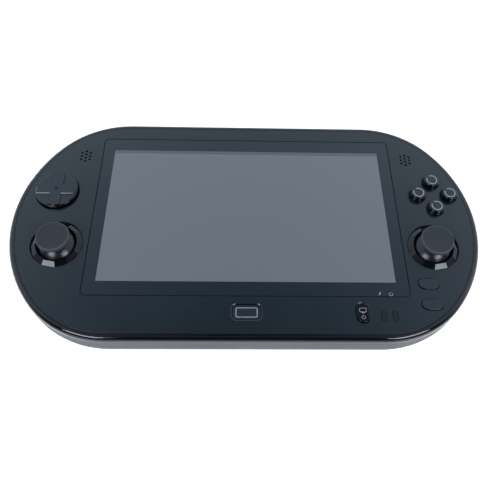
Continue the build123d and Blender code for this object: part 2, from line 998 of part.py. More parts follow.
def display_bracket():
    """A pressed steel frame with four ears to the front and four bushes for the main board."""
    half = active_width / 2 + glass_side_border + backlight_margin
    plate = block(-half, half, display_bottom(), display_top(), bracket_bottom, backlight_bottom)
    middle = (display_bottom() + display_top()) / 2
    bar = bracket_bar / 2
    low, high = bracket_bottom - overrun, backlight_bottom + overrun
    for side in (-1, 1):
        near, far = sorted((side * bar, side * (half - bracket_rim)))
        plate -= block(near, far, display_bottom() + bracket_rim, middle - bar, low, high)
        plate -= block(near, far, middle + bar, display_top() - bracket_rim, low, high)
    for x, y in bracket_screw_places():
        start = display_top() if y > middle else display_bottom()
        start -= bracket_rim / 2 if y > middle else -bracket_rim / 2
        low_y, high_y = sorted((start, y))
        width = bracket_ear_width / 2
        plate += block(x - width, x + width, low_y, high_y, bracket_bottom, backlight_bottom)
        plate += disc(x, y, width, bracket_bottom, backlight_bottom)
    for x, y in main_screw_places():
        plate += disc(x, y, bracket_bar / 2, bracket_bottom, backlight_bottom)
        rim_x = math.copysign(half - bracket_rim / 2, x)
        near, far = sorted((x, rim_x))
        plate += block(near, far, y - bar / 2, y + bar / 2, bracket_bottom, backlight_bottom)
        plate += disc(x, y, standoff_radius, main_board_top, bracket_bottom)
        plate -= disc(x, y, screw_shank_radius + screw_clearance, main_board_top - overrun, bracket_bottom)
    for x, y in bracket_screw_places():
        plate -= disc(x, y, screw_shank_radius + head_clearance, low, high)
    return plate


def display_ribbon():
    """The flat cable that folds from the display's lower edge round to the main board."""
    half = display_ribbon_width / 2
    out = display_bottom() - ribbon_loop
    high = glass_bottom - backlight_thickness / 2
    low = bracket_bottom - display_gap
    end = ribbon_connector_y()
    strip = block(-half, half, out, display_bottom(), high - ribbon_thickness, high)
    strip += block(-half, half, out - ribbon_thickness, out, low - ribbon_thickness, high)
    strip += block(-half, half, out, end + ribbon_thickness, low - ribbon_thickness, low)
    strip += block(-half, half, end, end + ribbon_thickness, main_board_top + connector_height, low)
    return strip


def ribbon_connector_y():
    return main_board_y_top() - main_board_height + connector_depth


# Main board and what it carries
def main_board():
    top = main_board_y_top()
    middle = top - main_board_height / 2
    board = cushion(
        0, middle, main_board_width, main_board_height, main_board_corner, main_board_bottom, main_board_top
    )
    low, high = main_board_bottom - overrun, main_board_top + overrun
    half = jack_body_width / 2 + edge_gap
    notch_y = jack_front_y() - jack_body_length - edge_gap
    board -= block(jack_x - half, jack_x + half, notch_y, top + overrun, low, high)
    u, v = rocker_pin_place()
    board -= disc(u, v, rocker_boss_radius() + rocker_boss_shift() + rocker_gap, low, high)
    for x, y in main_screw_places():
        board -= disc(x, y, screw_shank_radius + head_clearance, low, high)
    return board


def processor_y():
    return main_board_y_top() - processor_y_share * main_board_height


def spreader_y():
    return processor_y()


def board_chips():
    """The processor and its memory below the board, and coils and cable sockets on top."""
    low = main_board_bottom - processor_height
    half = processor_size / 2
    y = processor_y()
    chips = [block(-half, half, y - half, y + half, low, main_board_bottom)]
    for side in (-1, 1):
        x = side * (half + memory_gap + memory_length / 2)
        chips.append(
            block(
                x - memory_length / 2,
                x + memory_length / 2,
                y - memory_width / 2,
                y + memory_width / 2,
                low,
                main_board_bottom,
            )
        )
    high = main_board_top + connector_height
    end = ribbon_connector_y()
    half = connector_width / 2
    depth = connector_depth / 2
    chips.append(block(-half, half, end - depth, end + depth, main_board_top, high))
    for share in coil_x_shares:
        x = -share * main_board_width
        coil = cushion(
            x, y, coil_size, coil_size, coil_size / 4, main_board_top, main_board_top + coil_height
        )
        chips.append(coil)
    return Compound(children=chips)


def heat_spreader():
    high = main_board_bottom - processor_height
    plate = cushion(
        0, spreader_y(), spreader_width, spreader_height, main_board_corner, high - spreader_thickness, high
    )
    return plate


def side_ribbons():
    """One flat cable from the main board to each control board."""
    near = main_board_width / 2 - side_ribbon_overlap
    far = zone_x + control_board_side_gap + side_ribbon_overlap
    y = main_board_y_top() - side_ribbon_y_share * main_board_height
    half = side_ribbon_width / 2
    step = main_board_width / 2 + ribbon_loop
    strip = block(near, step, y - half, y + half, main_board_top, main_board_top + ribbon_thickness)
    high = control_board_bottom
    low_z = min(main_board_top, high - ribbon_thickness)
    high_z = max(main_board_top + ribbon_thickness, high)
    strip += block(step, step + ribbon_thickness, y - half, y + half, low_z, high_z)
    strip += block(step, far, y - half, y + half, high - ribbon_thickness, high)
    return Compound(children=[strip, flipped(strip)])


def battery_pack():
    pack = cushion(
        0, battery_y(), battery_width, battery_height, battery_corner, floor_z, floor_z + battery_thickness
    )
    return fillet(pack.edges().filter_by(Axis.Z, reverse=True), battery_corner / 3)


# Sockets in the top edge
def jack_front_y():
    """The front of the jack's body, just behind the tongue."""
    return half_height - tongue_inset() - edge_gap


def headphone_jack():
    half = jack_body_width / 2
    tall = jack_body_height / 2
    front = jack_front_y()
    back = front - jack_body_length
    body = block(jack_x - half, jack_x + half, back, front, edge_socket_z - tall, edge_socket_z + tall)
    mouth_y = half_height - edge_gap
    mouth = Plane((jack_x, mouth_y, edge_socket_z), x_dir=(1, 0, 0), z_dir=(0, -1, 0))
    body += extrude(mouth * Circle(jack_collar_radius), amount=mouth_y - front)
    body -= extrude(mouth * Circle(jack_bore_radius), amount=jack_bore_depth)
    return body


def charging_port():
    mouth = Plane(
        (port_x, half_height - port_set_back, edge_socket_z), x_dir=(1, 0, 0), z_dir=(0, -1, 0)
    )
    corner = port_height / 2 - port_wall / 2
    shell = extrude(mouth * RectangleRounded(port_width, port_height, corner), amount=port_length)
    inner = RectangleRounded(
        port_width - 2 * port_wall, port_height - 2 * port_wall, corner - port_wall
    )
    shell -= extrude(mouth * inner, amount=port_length - port_wall)
    tongue = Rectangle(port_tongue_width, port_tongue_thickness)
    back = Plane(
        (port_x, half_height - port_set_back - port_length, edge_socket_z), x_dir=(1, 0, 0), z_dir=(0, 1, 0)
    )
    shell += extrude(back * tongue, amount=port_length - 2 * port_wall)
    seat_y = half_height - port_set_back - port_length
    half = port_width / 2 - port_height / 2
    shell += block(
        port_x - half, port_x + half, seat_y - port_seat, seat_y + port_wall, main_board_top, edge_socket_z
    )
    return shell


# Volume rocker on its pin, with two switches behind it
def volume_rocker():
    x, y = rocker_pin_place()
    low, high = rocker_low(), rocker_high()
    half = rocker_width / 2
    bar = block(x - half, x + half, half_height - rocker_thickness, half_height, low, high)
    outer = bar.edges().group_by(Axis.Y)[-1].filter_by(Axis.Z)
    bar = fillet(outer, rocker_edge_radius)
    bar += disc(x, y, rocker_hub_radius, low, high)
    return bar - disc(x, y, rocker_pin_radius + pin_fit, low - overrun, high + overrun)


def rocker_switches():
    solids = []
    back = half_height - rocker_thickness - rocker_switch_gap
    half = rocker_switch_size / 2
    for side in (-1, 1):
        x = rocker_x + side * (rocker_width / 2 - half)
        solids.append(
            block(
                x - half,
                x + half,
                back - rocker_switch_depth,
                back,
                main_board_top,
                main_board_top + rocker_switch_size,
            )
        )
    return Compound(children=solids)


def hinge_pins():
    """Steel pins of the two shoulder buttons and the volume rocker."""
    x, y = shoulder_pin_place()
    u, v = rocker_pin_place()
    pin = disc(x, y, pin_radius, shoulder_pin_low() + fit_gap, shoulder_pin_high() - fit_gap)
    rocker = disc(u, v, rocker_pin_radius, rocker_pin_low() + fit_gap, rocker_pin_high() - fit_gap)
    return Compound(children=[pin, flipped(pin), rocker])


# Thumb stick, drawn about its pivot and set in place afterwards
def stick_bezel():
    """The gloss collar: flats that rise from a shallow seat in the face to a lip over the dome."""
    face = face_z - pivot_z
    top = face + collar_rise
    edge = face - collar_sink
    seat = face - collar_seat_depth
    low = plate_bottom - pivot_z
    wide = RegularPolygon(collar_radius, collar_side_count, major_radius=False, rotation=collar_turn_angle)
    narrow = RegularPolygon(
        stick_hole_radius + collar_land, collar_side_count, major_radius=False, rotation=collar_turn_angle
    )
    collar = slab(wide, seat, edge)
    collar += loft([Pos(0, 0, edge) * wide, Pos(0, 0, top) * narrow], ruled=True)
    collar += disc(0, 0, spigot_radius, low, seat)
    collar -= disc(0, 0, spigot_bore, low - overrun, top - collar_lip)
    return collar - disc(0, 0, stick_hole_radius, low - overrun, top + overrun)


def stick_cap():
    """The rubber-topped cap with its neck and the dome that closes the gate."""
    skirt = math.radians(skirt_angle)
    under = stick_top - stick_cap_thickness
    dome_at_neck = math.sqrt(dome_radius ** 2 - stick_neck_radius ** 2)
    low = dome_radius * math.cos(skirt)
    mid = skirt / 2
    edge = stick_cap_edge
    rim_in = stick_cap_radius - edge - stick_cap_rim
    dish = stick_top - stick_cap_dish
    profile = [
        Line((0, low), (dome_radius * math.sin(skirt), low)),
        ThreePointArc(
            (dome_radius * math.sin(skirt), low),
            (dome_radius * math.sin(mid), dome_radius * math.cos(mid)),
            (stick_neck_radius, dome_at_neck),
        ),
        Line((stick_neck_radius, dome_at_neck), (stick_neck_radius, under)),
        Line((stick_neck_radius, under), (stick_cap_radius - edge, under)),
        RadiusArc((stick_cap_radius - edge, under), (stick_cap_radius, under + edge), -edge),
        Line((stick_cap_radius, under + edge), (stick_cap_radius, stick_top - edge)),
        RadiusArc((stick_cap_radius, stick_top - edge), (stick_cap_radius - edge, stick_top), -edge),
        Line((stick_cap_radius - edge, stick_top), (rim_in, dish)),
        Line((rim_in, dish), (0, dish)),
        Line((0, dish), (0, low)),
    ]
    cap = revolve(Plane.XZ * make_face(profile), axis=Axis.Z)
    boss_low = stick_boss_height_share * dome_inner_radius
    boss = disc(0, 0, stick_boss_radius, boss_low, dome_radius)
    cap -= Sphere(dome_inner_radius) - boss
    cap -= disc(0, 0, stick_post_radius + stick_post_fit, 0, dome_inner_radius + stick_post_depth)
    return cap


def stick_post():
    """The metal post with the cross pin that turns in the yoke."""
    post = disc(0, 0, stick_hub_radius, -stick_hub_drop, stick_hub_drop)
    post += disc(0, 0, stick_post_radius, 0, dome_inner_radius + stick_post_depth - fit_gap)
    reach = yoke_half - pin_fit
    pin = Plane((0, -reach, 0), x_dir=(1, 0, 0), z_dir=(0, 1, 0)) * Circle(stick_pin_radius)
    return post + extrude(pin, amount=2 * reach)


def stick_yoke():
    """A square ring on two trunnions, which carries the post."""
    inner = yoke_half - yoke_wall
    high = yoke_half_height
    ring = block(-yoke_half, yoke_half, -yoke_half, yoke_half, -high, high)
    ring -= block(-inner, inner, -inner, inner, -high - overrun, high + overrun)
    reach = housing_half - pin_fit
    for side in (-1, 1):
        near, far = sorted((side * (inner + yoke_wall / 2), side * reach))
        pin = Plane((near, 0, 0), x_dir=(0, 1, 0), z_dir=(1, 0, 0)) * Circle(stick_pin_radius)
        ring += extrude(pin, amount=far - near)
    hole = Plane((0, -yoke_half - overrun, 0), x_dir=(1, 0, 0), z_dir=(0, 1, 0))
    hole = hole * Circle(stick_pin_radius + pin_fit)
    return ring - extrude(hole, amount=2 * (yoke_half + overrun))


def stick_base():
    """The open housing on its plate, with four spacers up to the control board."""
    plate_top = -stick_plate_drop
    plate_low = plate_top - stick_plate_thickness
    corner = stick_spacer_radius + stick_plate_margin
    half = stick_spacer_at + corner
    base = cushion(0, 0, 2 * half, 2 * half, corner, plate_low, plate_top)
    box = housing_half
    base += block(-box, box, -box, box, -housing_depth, housing_rise)
    for a in (-1, 1):
        for b in (-1, 1):
            base += disc(
                a * stick_spacer_at,
                b * stick_spacer_at,
                stick_spacer_radius,
                plate_low,
                control_board_bottom - pivot_z,
            )
    hollow = cavity_half
    base -= block(-hollow, hollow, -hollow, hollow, housing_floor - housing_depth, housing_rise + overrun)
    hole = Plane((-box - overrun, 0, 0), x_dir=(0, 1, 0), z_dir=(1, 0, 0))
    hole = hole * Circle(stick_pin_radius + pin_fit)
    return base - extrude(hole, amount=2 * (box + overrun))


def at_stick(solid, side):
    placed = Pos(stick_x, stick_y, pivot_z) * solid
    return placed if side > 0 else flipped(placed)


# Direction pad on a small cross joint
def dpad():
    top = face_z + dpad_rise
    shelf = top - dpad_arm_height
    under = plate_bottom - dpad_flange_drop
    low = under - dpad_flange_thickness
    body = disc(0, 0, dpad_radius, low, shelf)
    body = fillet(top_edges(body), dpad_edge_radius)
    half = dpad_arm_width / 2
    reach = dpad_radius - dpad_edge_radius
    arms = block(-reach, reach, -half, half, face_z, top) + block(-half, half, -reach, reach, face_z, top)
    arms &= disc(0, 0, reach, face_z, top)
    body += chamfer(top_edges(arms), dpad_arm_radius)
    body += disc(0, 0, dpad_radius + dpad_flange, low, under)
    body -= disc(0, 0, dpad_recess_radius, low - overrun, top - dpad_skin)
    ball = (dpad_dimple_radius ** 2 + dpad_dimple_depth ** 2) / (2 * dpad_dimple_depth)
    body -= Pos(0, 0, top + ball - dpad_dimple_depth) * Sphere(ball)
    pivot = dpad_pivot_z()
    for side in (-1, 1):
        near, far = sorted((side * dpad_ear_gap, side * (dpad_ear_gap + dpad_ear_thickness)))
        wide = dpad_ear_width / 2
        body += block(-wide, wide, near, far, pivot - dpad_ear_reach, top - dpad_skin)
    reach = dpad_ear_gap + dpad_ear_thickness + pin_fit
    hole = Plane((0, -reach, pivot), x_dir=(1, 0, 0), z_dir=(0, 1, 0))
    hole = hole * Circle(dpad_cross_radius + pin_fit)
    body -= extrude(hole, amount=2 * reach)
    return Pos(dpad_x, dpad_y) * body


def dpad_pivot_z():
    return plate_bottom - dpad_pivot_drop


def dpad_cross():
    reach = dpad_ear_gap + dpad_ear_thickness
    pivot = dpad_pivot_z()
    along = Plane((-reach, 0, pivot), x_dir=(0, 1, 0), z_dir=(1, 0, 0)) * Circle(dpad_cross_radius)
    across = Plane((0, -reach, pivot), x_dir=(1, 0, 0), z_dir=(0, 1, 0)) * Circle(dpad_cross_radius)
    cross = extrude(along, amount=2 * reach) + extrude(across, amount=2 * reach)
    cross += disc(0, 0, dpad_ear_width / 2, pivot - dpad_cross_radius, pivot + dpad_cross_radius)
    return Pos(dpad_x, dpad_y) * cross


def dpad_pivot_base():
    pivot = dpad_pivot_z()
    foot = control_board_top
    base = disc(0, 0, dpad_base_radius, foot, foot + dpad_base_thickness)
    wide = dpad_ear_width / 2
    for side in (-1, 1):
        near, far = sorted((side * dpad_ear_gap, side * (dpad_ear_gap + dpad_ear_thickness)))
        base += block(near, far, -wide, wide, foot, pivot + dpad_ear_reach)
    hole = Plane((-dpad_base_radius, 0, pivot), x_dir=(0, 1, 0), z_dir=(1, 0, 0))
    hole = hole * Circle(dpad_cross_radius + pin_fit)
    return Pos(dpad_x, dpad_y) * (base - extrude(hole, amount=2 * dpad_base_radius))


def rubber_dome(x, y, low, high):
    return tapered(x, y, dome_base_radius, dome_top_radius, low, high)


def dpad_pad():
    low = control_board_top
    sheet = disc(dpad_x, dpad_y, dpad_radius + dpad_flange, low, low + pad_sheet)
    sheet -= disc(dpad_x, dpad_y, dpad_base_radius + fit_gap, low - overrun, low + pad_sheet + overrun)
    top = plate_bottom - dpad_flange_drop - dpad_flange_thickness - dome_touch_gap
    ring = dpad_recess_radius + dpad_dome_ring_gap + dome_top_radius / 2
    for turn in range(4):
        angle = math.radians(90 * turn)
        x, y = dpad_x + ring * math.cos(angle), dpad_y + ring * math.sin(angle)
        sheet += rubber_dome(x, y, low + pad_sheet, top)
    return sheet


# Face buttons and their silicone pad
def face_button(x, y):
    cap = disc(x, y, button_radius, button_bottom, face_z)
    cap += tapered(x, y, button_radius, button_radius - button_taper, face_z, face_z + button_rise)
    cap = fillet(top_edges(cap), button_edge_radius)
    return cap + disc(x, y, button_radius + button_flange, button_bottom, button_bottom + flange_thickness)


def face_button_pad():
    low = control_board_top
    reach = button_spacing + dome_base_radius + pad_margin
    sheet = disc(buttons_x, buttons_y, reach, low, low + pad_sheet)
    for x, y in button_places().values():
        sheet += rubber_dome(x, y, low + pad_sheet, button_bottom - dome_touch_gap)
    return sheet


def menu_button(y):
    cap = capsule(menu_x, y, menu_length, menu_width, button_bottom, face_z + menu_rise)
    cap = fillet(top_edges(cap), menu_edge_radius)
    return cap + capsule(
        menu_x,
        y,
        menu_length + 2 * menu_flange,
        menu_width + 2 * menu_flange,
        button_bottom,
        button_bottom + flange_thickness,
    )


def menu_button_pad():
    low = control_board_top
    start_y, select_y = menu_places()
    middle = (start_y + select_y) / 2
    width = 2 * (dome_base_radius + pad_margin)
    sheet = capsule(menu_x, middle, width, start_y - select_y + width, low, low + pad_sheet)
    for y in (start_y, select_y):
        sheet += rubber_dome(menu_x, y, low + pad_sheet, button_bottom - dome_touch_gap)
    return sheet


# Home and power buttons, status lights and the small board behind them
def home_button():
    cap = cushion(0, home_y, home_width, home_height, home_corner, button_bottom, face_z - home_sunk)
    cap = fillet(top_edges(cap), home_edge_radius)
    cap += cushion(
        0,
        home_y,
        home_width + 2 * key_flange,
        home_height + 2 * key_flange,
        home_corner + key_flange,
        button_bottom,
        button_bottom + flange_thickness,
    )
    return cap + disc(0, home_y, key_stem_radius, button_bottom - key_stem_length, button_bottom)


def power_button():
    cap = capsule(power_x, power_y, power_width, power_length, button_bottom, face_z + power_rise)
    cap = fillet(top_edges(cap), power_edge_radius)
    cap += capsule(
        power_x,
        power_y,
        power_width + 2 * key_flange,
        power_length + 2 * key_flange,
        button_bottom,
        button_bottom + flange_thickness,
    )
    return cap + disc(power_x, power_y, key_stem_radius, button_bottom - key_stem_length, button_bottom)


def status_light_pipes():
    pipes = []
    low = key_board_top + led_height + light_air
    for x, y in light_places():
        pipe = capsule(x, y, light_width, light_length, low, face_z)
        pipe += capsule(
            x,
            y,
            light_width + 2 * light_flange,
            light_length + 2 * light_flange,
            button_bottom,
            button_bottom + flange_thickness,
        )
        pipes.append(pipe)
    return Compound(children=pipes)


def status_leds():
    half = led_size / 2
    low, high = key_board_top, key_board_top + led_height
    leds = [block(x - half, x + half, y - half, y + half, low, high) for x, y in light_places()]
    return Compound(children=leds)


def key_board():
    half = key_board_height / 2
    y = key_board_y()
    right = zone_x - key_board_right_gap
    board = block(-key_board_left, right, y - half, y + half, key_board_bottom, key_board_top)
    for x, hole_y in key_screw_places():
        hole = screw_shank_radius + head_clearance
        board -= disc(x, hole_y, hole, key_board_bottom - overrun, key_board_top + overrun)
    return board


def key_switches():
    switches = []
    half = switch_size / 2
    low = key_board_top
    high = low + switch_height
    for x, y in ((0, home_y), (power_x, power_y)):
        switch = block(x - half, x + half, y - half, y + half, low, high)
        switches.append(switch + disc(x, y, plunger_radius, high, high + plunger_height))
    return Compound(children=switches)


# Boards behind the left and right controls
def control_board():
    """The right-hand board. The left one is its mirror image."""
    low, high = control_board_bottom, control_board_top
    board = slab(oval(control_board_inset), low, high)
    keep = block(
        zone_x + control_board_side_gap,
        half_length,
        control_board_bottom_gap - half_height,
        lens_top - control_board_top_gap,
        low - overrun,
        high + overrun,
    )
    board &= keep
    board -= disc(stick_x, stick_y, stick_cutout, low - overrun, high + overrun)
    for x, y in control_screw_places():
        board -= disc(x, y, screw_shank_radius + head_clearance, low - overrun, high + overrun)
    x, y = half_length - case_screw_inset, 0
    board -= disc(x, y, case_boss_radius + head_clearance, low - overrun, high + overrun)
    return board


# Speakers
def speaker():
    """A small box speaker with a shallow round cone."""
    top = plate_bottom - speaker_gasket
    low = top - speaker_thickness
    box = cushion(speaker_x, speaker_y, speaker_width, speaker_height, speaker_corner, low, top)
    return box - disc(speaker_x, speaker_y, speaker_cone_radius, top - speaker_cone_depth, top + overrun)


def speaker_gaskets():
    rim = 2 * speaker_gasket_rim
    ring = RectangleRounded(speaker_width, speaker_height, speaker_corner)
    ring -= RectangleRounded(speaker_width - rim, speaker_height - rim, speaker_corner / 2)
    gasket = slab(Pos(speaker_x, speaker_y) * ring, plate_bottom - speaker_gasket, plate_bottom)
    return Compound(children=[gasket, flipped(gasket)])


# Shoulder buttons, each a piece of the side wall on an upright pin
def shoulder_button():
    x, y = shoulder_pin_place()
    low, high = shoulder_bottom, shoulder_top()
    skin = rear_form(-shoulder_proud, seam_z)
    skin -= rear_form(shoulder_thickness, seam_z + overrun)
    room = disc(x, y, shoulder_outer_reach, low, high) - disc(x, y, shoulder_inner_reach, low, high)
    right = block(x, x + 2 * shoulder_outer_reach, 0, half_height + overrun, low, high)
    cap = skin & room & right
    inner = wall + shoulder_gap
    arm = rear_form(inner, seam_z) - rear_form(shoulder_thickness, seam_z + overrun)
    near = disc(x, y, shoulder_inner_reach + shoulder_lever, low, high)
    arm = arm & near & block(x, x + 2 * shoulder_outer_reach, 0, half_height, low, high)
    link = block(
        x, x + shoulder_hub_radius, y, half_height - shoulder_thickness + shoulder_gap, low, high
    )
    link &= rear_form(inner, seam_z)
    cap += arm + link + disc(x, y, shoulder_hub_radius, low, high)
    return cap - disc(x, y, pin_radius + pin_fit, low - overrun, high + overrun)


def shoulder_switches():
    angle = math.radians(shoulder_switch_angle)
    radius = shoulder_radius - shoulder_thickness - shoulder_switch_gap - shoulder_switch_depth / 2
    x = shoulder_centre_x + radius * math.cos(angle)
    y = shoulder_centre_y + radius * math.sin(angle)
    box = Box(shoulder_switch_depth, shoulder_switch_width, shoulder_switch_height)
    z = control_board_bottom - shoulder_switch_height / 2
    switch = Pos(x, y, z) * Rot(0, 0, shoulder_switch_angle) * box
    return Compound(children=[switch, flipped(switch)])


start_y, select_y = menu_places()
pieces = {
    "front_shell": front_shell(),
    "side_frame": side_frame(),
    "rear_shell": rear_shell(),
    "rubber_feet": rubber_feet(),
    "case_screws": case_screws(),
    "inner_screws": inner_screws(),
    "display_lens": display_lens(),
    "lens_tape": lens_tape(),
    "display_gasket": display_gasket(),
    "lcd_glass": lcd_glass(),
    "backlight_unit": backlight_unit(),
    "display_bracket": display_bracket(),
    "display_ribbon": display_ribbon(),
    "main_board": main_board(),
    "board_chips": board_chips(),
    "heat_spreader": heat_spreader(),
    "side_ribbons": side_ribbons(),
    "battery_pack": battery_pack(),
    "headphone_jack": headphone_jack(),
    "charging_port": charging_port(),
    "volume_rocker": volume_rocker(),
    "rocker_switches": rocker_switches(),
    "hinge_pins": hinge_pins(),
    "dpad": dpad(),
    "dpad_cross": dpad_cross(),
    "dpad_pivot_base": dpad_pivot_base(),
    "dpad_pad": dpad_pad(),
    "face_button_pad": face_button_pad(),
    "start_button": menu_button(start_y),
    "select_button": menu_button(select_y),
    "menu_button_pad": menu_button_pad(),
    "home_button": home_button(),
    "power_button": power_button(),
    "status_light_pipes": status_light_pipes(),
    "status_leds": status_leds(),
    "key_board": key_board(),
    "key_switches": key_switches(),
    "speaker_gaskets": speaker_gaskets(),
    "shoulder_switches": shoulder_switches(),
}
for name, (x, y) in button_places().items():
    pieces[name] = face_button(x, y)
for name, side in (("left", -1), ("right", 1)):
    pieces[name + "_stick_bezel"] = at_stick(stick_bezel(), side)
    pieces[name + "_stick_cap"] = at_stick(stick_cap(), side)
    pieces[name + "_stick_post"] = at_stick(stick_post(), side)
    pieces[name + "_stick_yoke"] = at_stick(stick_yoke(), side)
    pieces[name + "_stick_base"] = at_stick(stick_base(), side)
    pieces[name + "_control_board"] = control_board() if side > 0 else flipped(control_board())
    pieces[name + "_speaker"] = speaker() if side > 0 else flipped(speaker())
    pieces[name + "_shoulder_button"] = shoulder_button() if side > 0 else flipped(shoulder_button())

os.makedirs("parts", exist_ok=True)
for name, shape in pieces.items():
    export_step(shape, f"parts/{name}.step")
print(len(pieces), "pieces written")
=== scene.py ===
import math

import bmesh
import bpy
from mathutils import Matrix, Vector


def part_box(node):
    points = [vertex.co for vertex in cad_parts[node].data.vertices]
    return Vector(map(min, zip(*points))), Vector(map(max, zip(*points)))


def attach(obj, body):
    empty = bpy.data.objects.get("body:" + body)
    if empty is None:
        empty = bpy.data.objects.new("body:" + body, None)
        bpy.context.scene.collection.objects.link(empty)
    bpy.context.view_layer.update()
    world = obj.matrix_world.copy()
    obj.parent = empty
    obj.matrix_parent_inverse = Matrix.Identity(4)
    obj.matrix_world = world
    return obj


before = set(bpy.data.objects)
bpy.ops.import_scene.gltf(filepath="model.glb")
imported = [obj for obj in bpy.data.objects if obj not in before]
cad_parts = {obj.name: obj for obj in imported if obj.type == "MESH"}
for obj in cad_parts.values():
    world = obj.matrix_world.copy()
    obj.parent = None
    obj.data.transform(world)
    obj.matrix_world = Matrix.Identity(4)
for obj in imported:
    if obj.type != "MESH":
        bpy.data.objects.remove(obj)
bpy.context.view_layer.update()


# Camera: one fixed lens over the near edge of the console, tipped 30 degrees from straight
# down. Its place, focal length and small shift were worked out from the corners of the
# window and of the lit panel, whose real sizes are known.
CAMERA_PLACE = (-0.00293, -0.16242, 0.27423)
CAMERA_TURN = (29.598, -1.637, -0.419)
CAMERA_LENS = 38.963
CAMERA_SENSOR = 36.0
CAMERA_SHIFT = (-0.01302, 0.01007)
CAMERA_NEAR = 0.01

bpy.ops.object.camera_add(location=CAMERA_PLACE, rotation=[math.radians(a) for a in CAMERA_TURN])
camera = bpy.context.object
camera.name = "camera"
camera.data.lens = CAMERA_LENS
camera.data.sensor_width = CAMERA_SENSOR
camera.data.shift_x, camera.data.shift_y = CAMERA_SHIFT
camera.data.clip_start = CAMERA_NEAR
bpy.context.scene.camera = camera
bpy.context.scene.view_settings.view_transform = "Standard"


# Studio: a matt white sweep that the console lies on, in a white room with a dark ceiling,
# and two softboxes of white fabric, left and right in front. They stay at the level that
# gives colours as they are written.
FLOOR_SIZE = 6.0
FLOOR_SIDES = 96
FLOOR_WHITE = "#e8e8e8"
FLOOR_LIFT = 0.6
PURE_WHITE = "#ffffff"
ROOM_TINT = "#dfecfd"
ROOM_WALL = 1.3
ROOM_CEILING = 0.08
CEILING_AXIS = (0.0, 0.26, 0.966)
CEILING_EDGE = (0.857, 1.0)
ROOM_FRONT = 0.08
FRONT_EDGE = (-0.35, 0.1)
BOX_TINT = "#e6eeff"
BOX_SIZE = (0.5, 0.36)
BOX_DISTANCE = 1.15
BOX_POWER = 6.3
BOX_AIM = (0.0, -0.01, 0.02)
BOX_PLACES = {"left_softbox": (-0.49, -0.565, 0.67), "right_softbox": (0.53, -0.55, 0.66)}


def linear(code):
    """A colour written as sRGB hex, in the linear values that the shaders take."""
    values = [int(code[i:i + 2], 16) / 255 for i in (1, 3, 5)]
    return [v / 12.92 if v <= 0.04045 else ((v + 0.055) / 1.055) ** 2.4 for v in values] + [1.0]


def add(tree, kind, inputs=None, **settings):
    """Adds a node with its settings, and links or fills its sockets."""
    made = tree.nodes.new(kind)
    for name, value in settings.items():
        setattr(made, name, value)
    for name, value in (inputs or {}).items():
        if isinstance(value, bpy.types.NodeSocket):
            tree.links.new(value, made.inputs[name])
        else:
            made.inputs[name].default_value = value
    return made


room = bpy.data.worlds.new("white_room_dark_ceiling")
room.use_nodes = True
room.node_tree.nodes.clear()
bpy.context.scene.world = room
tree = room.node_tree
path = add(tree, "ShaderNodeLightPath")
place = add(tree, "ShaderNodeTexCoord")
parts = add(tree, "ShaderNodeSeparateXYZ", {0: place.outputs["Generated"]})
upward = add(tree, "ShaderNodeVectorMath", {
    0: place.outputs["Generated"], 1: CEILING_AXIS}, operation="DOT_PRODUCT")
wall = add(tree, "ShaderNodeMapRange", {
    "Value": upward.outputs["Value"], "From Min": CEILING_EDGE[0], "From Max": CEILING_EDGE[1],
    "To Min": ROOM_WALL, "To Max": ROOM_CEILING})
level = add(tree, "ShaderNodeMapRange", {
    "Value": parts.outputs["Y"], "From Min": FRONT_EDGE[0], "From Max": FRONT_EDGE[1],
    "To Min": ROOM_FRONT, "To Max": wall.outputs["Result"]}, interpolation_type="SMOOTHSTEP")
seen = add(tree, "ShaderNodeBackground", {"Color": linear(PURE_WHITE), "Strength": 1.0})
light = add(tree, "ShaderNodeBackground", {
    "Color": linear(ROOM_TINT), "Strength": level.outputs["Result"]})
either = add(tree, "ShaderNodeMixShader", {
    0: path.outputs["Is Camera Ray"], 1: light.outputs[0], 2: seen.outputs[0]})
add(tree, "ShaderNodeOutputWorld", {"Surface": either.outputs[0]})

bpy.ops.object.select_all(action="DESELECT")
bpy.ops.mesh.primitive_circle_add(vertices=FLOOR_SIDES, radius=FLOOR_SIZE / 2, fill_type="NGON")
floor = bpy.context.object
floor.name = "floor"
white = bpy.data.materials.new("matt_white_sweep")
white.use_nodes = True
tree = white.node_tree
tree.nodes.clear()
path = add(tree, "ShaderNodeLightPath")
camera_or_gloss = add(tree, "ShaderNodeMath", {
    0: path.outputs["Is Camera Ray"], 1: path.outputs["Is Glossy Ray"]}, operation="MAXIMUM")
seen = add(tree, "ShaderNodeMath", {
    0: camera_or_gloss.outputs[0], 1: path.outputs["Is Transmission Ray"]}, operation="MAXIMUM")
lift = add(tree, "ShaderNodeMath", {0: seen.outputs[0], 1: FLOOR_LIFT}, operation="MULTIPLY")
matt = add(tree, "ShaderNodeBsdfDiffuse", {"Color": linear(FLOOR_WHITE)})
glow = add(tree, "ShaderNodeEmission", {"Color": linear(PURE_WHITE), "Strength": lift.outputs[0]})
both = add(tree, "ShaderNodeAddShader", {0: matt.outputs[0], 1: glow.outputs[0]})
add(tree, "ShaderNodeOutputMaterial", {"Surface": both.outputs[0]})
floor.data.materials.append(white)

for name, spot in BOX_PLACES.items():
    aim = Vector(BOX_AIM)
    spot = aim + (Vector(spot) - aim).normalized() * BOX_DISTANCE
    turn = (spot - aim).to_track_quat("Z", "Y").to_euler()
    bpy.ops.object.light_add(type="AREA", location=spot, rotation=turn)
    box = bpy.context.object
    box.name = name
    box.data.shape = "RECTANGLE"
    box.data.size, box.data.size_y = BOX_SIZE
    box.data.energy = BOX_POWER
    box.data.color = linear(BOX_TINT)[:3]


